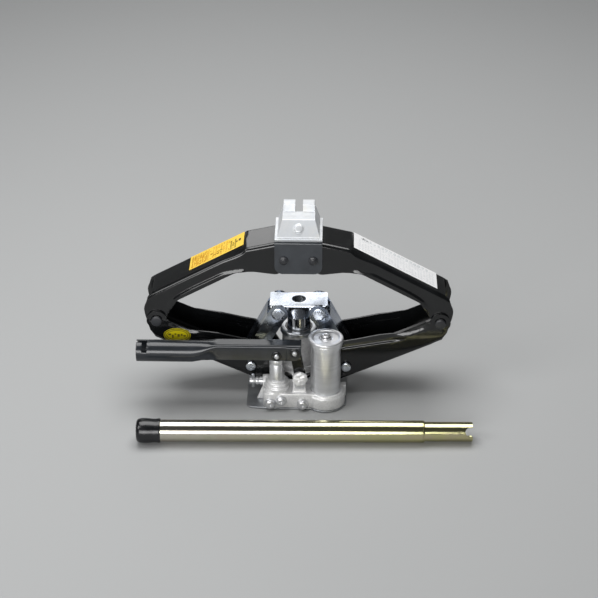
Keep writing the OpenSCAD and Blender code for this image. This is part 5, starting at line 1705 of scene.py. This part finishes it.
@dataclass(frozen=True)
class LeverBar:
    """The loose lever bar with its rubber cap."""

    tube: float = 13.6

    def build(self) -> None:
        """Builds and dresses the bar."""
        for node, width in (("bar_tube", 0.5), ("bar_end", 0.4)):
            dress(node, f"{node}_shape", width, 4)
        self._cap()
        self._lip()

    @staticmethod
    def _axis(x: float) -> tuple[Place, Matrix]:
        """The bar's axis, through the middles of its cap and end.

        Args:
            x: A place along X, in millimetres.

        Returns:
            The axis' point there, and what lays a vertical axis along it.
        """
        left, right = ((Vector(low) + Vector(high)) / 2 / MM
                       for low, high in map(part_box, ("bar_cap", "bar_end")))
        lie = (right - left).to_track_quat("Z", "Y").to_matrix().to_4x4()
        return tuple(left.lerp(right, (x - left.x) / (right.x - left.x))), lie

    def _cap(self) -> None:
        """The rubber cap: a round end, a soft swell and a slight waist before its rim."""
        low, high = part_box("bar_cap")
        r = (high[2] - low[2]) / 2 / MM - 0.05
        foot, lie = self._axis(low[0] / MM + 0.35)
        turning("bar_cap_moulded", "bar_cap",
                [(0, 0.0), (r - 6.0, 0.0), (r - 3.8, 0.35), (r - 2.0, 1.3), (r - 0.9, 2.9),
                 (r - 0.35, 5.0), (r, 8.5), (r, 12.0), (r - 0.35, 16.5), (r - 0.75, 20.0),
                 (r - 0.8, 24.0), (r - 0.45, 26.4), (r - 0.3, 27.6), (r - 0.5, 28.8),
                 (r - 1.0, 29.5), (self.tube - 0.1, 29.6), (self.tube - 0.1, 8.0), (0, 8.0)],
                foot, "bar_cap", lie=lie)

    def _lip(self) -> None:
        """The rolled lip where the main tube ends, no thicker than the tube."""
        seat, rim = self.tube - 1.8, self.tube - 0.15
        foot, lie = self._axis(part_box("bar_tube")[1][0] / MM)
        turning("bar_tube_lip", "bar_tube",
                [(seat, -0.5), (rim - 0.35, -0.5), (rim, 0.0), (rim, 1.1), (rim - 0.3, 1.6),
                 (rim - 0.9, 1.9), (seat, 1.9)], foot, lie=lie)


def dress_rest(hidden: Iterable[str]) -> None:
    """Rounds and dresses the CAD nodes that no sub-assembly has replaced.

    Args:
        hidden: Nodes out of sight, which stay as they are and only get their material.
    """
    for node, solid in frame["nodes"].items():
        if solid.hide_render:
            continue
        if node not in hidden:
            dress(node, f"{node}_shape")
            continue
        slot = Slot(NODE_SLOT[node])
        solid.data.materials.clear()
        solid.data.materials.append(FINISHES[slot].material())


@dataclass(frozen=True)
class Lamp:
    """One soft box, in metres. The radiance is how bright its face looks; 1 is white."""

    name: str
    place: Place
    size: tuple[float, float]
    radiance: float

    def build(self, aim: Place) -> None:
        """Sets up the lamp, facing a point."""
        data = bpy.data.lights.new(self.name, "AREA")
        data.shape = "RECTANGLE"
        data.size, data.size_y = self.size
        data.energy = self.radiance * math.pi * self.size[0] * self.size[1]
        made = Shop.linked(self.name, data)
        made.location = self.place
        made.rotation_mode = "QUATERNION"
        made.rotation_quaternion = (Vector(aim) - Vector(self.place)).to_track_quat("-Z", "Y")
        made.visible_camera = False


@dataclass(frozen=True)
class Studio:
    """Camera, floor and lamps."""

    azimuth: float = math.radians(1.29)
    elevation: float = math.radians(29.42)
    target: Place = (0.1, 0.0, 118.0)
    distance: float = 2375.0
    lens: float = 114.4
    floor_shade: Colour = (168, 169, 169)
    floor_half: float = 4000.0
    floor_rear: float = 2200.0
    floor_bend: float = 800.0
    backdrop_top: float = 2800.0
    air: Colour = (214, 217, 222)
    air_strength: float = 0.07
    middle: Place = (0.0, 0.0, 0.12)
    lamps: tuple[Lamp, ...] = (Lamp("top_box", (-0.1, 0.35, 1.75), (1.7, 1.3), 4.9),
                               Lamp("left_box", (-1.1, -0.66, 1.2), (0.6, 0.7), 5.0),
                               Lamp("rear_box", (-0.22, 1.62, 1.02), (0.8, 0.42), 2.2),
                               Lamp("front_panel", (-0.5, -2.4, 0.72), (1.7, 1.0), 7.4))

    def build(self) -> None:
        """Sets up the whole studio."""
        self._camera()
        self._floor()
        for lamp in self.lamps:
            lamp.build(self.middle)
        world = bpy.data.worlds.new("studio_air")
        world.use_nodes = True
        back = world.node_tree.nodes["Background"]
        back.inputs["Color"].default_value = shade(*self.air)
        back.inputs["Strength"].default_value = self.air_strength
        bpy.context.scene.world = world
        bpy.context.scene.view_settings.view_transform = "Standard"

    def _camera(self) -> None:
        """The camera at the photograph's viewing angle."""
        data = bpy.data.cameras.new("view")
        data.lens = self.lens
        data.sensor_width = 36.0
        data.clip_start, data.clip_end = 0.05, 30.0
        made = Shop.linked("view", data)
        a, e = self.azimuth, self.elevation
        back = Vector((math.sin(a) * math.cos(e), -math.cos(a) * math.cos(e), math.sin(e)))
        made.location = (Vector(self.target) + back * self.distance) * MM
        made.rotation_mode = "QUATERNION"
        made.rotation_quaternion = (-back).to_track_quat("-Z", "Y")
        bpy.context.scene.camera = made

    def _floor(self) -> None:
        """A pale floor that curves up into a backdrop."""
        rear, bend = self.floor_rear, self.floor_bend
        line = [(-self.floor_half, 0.0), (rear, 0.0)]
        line += [(rear + bend * math.sin(t), bend - bend * math.cos(t))
                 for t in np.linspace(0.1, math.pi / 2, 14)]
        line.append((rear + bend, self.backdrop_top))
        points = [(x, y, z) for y, z in line for x in (-self.floor_half, self.floor_half)]
        faces = [(2 * i, 2 * i + 1, 2 * i + 3, 2 * i + 2) for i in range(len(line) - 1)]
        made = Shop.smooth(Shop.from_faces("studio_floor", points, faces), 60.0)
        material = bpy.data.materials.new("studio_floor")
        material.use_nodes = True
        surface = material.node_tree.nodes["Principled BSDF"]
        surface.inputs["Base Color"].default_value = shade(*self.floor_shade)
        surface.inputs["Roughness"].default_value = 0.8
        surface.inputs["Specular IOR Level"].default_value = 0.2
        made.data.materials.append(material)


HIDDEN = ("check_springs", "check_balls", "piston_seal", "plunger_seal", "valve_seal",
          "filler_seal", "elbow_tube_left", "elbow_tube_right", "link_spacers_left",
          "link_spacers_right")


def main() -> None:
    """Builds the studio and every piece."""
    logging.basicConfig(level=logging.INFO, format="%(name)s: %(message)s")
    noise.seed_set(NOISE_SEED)
    for part in (Studio(), Arms(), Labels(), Saddle(), Crosshead(), Pump(), PumpLever(),
                 LeverBar()):
        part.build()
    dress("gland_wiper", "gland_wiper_ring", finish=WIPER)
    dress_rest(HIDDEN)


if __name__ == "__main__":
    main()
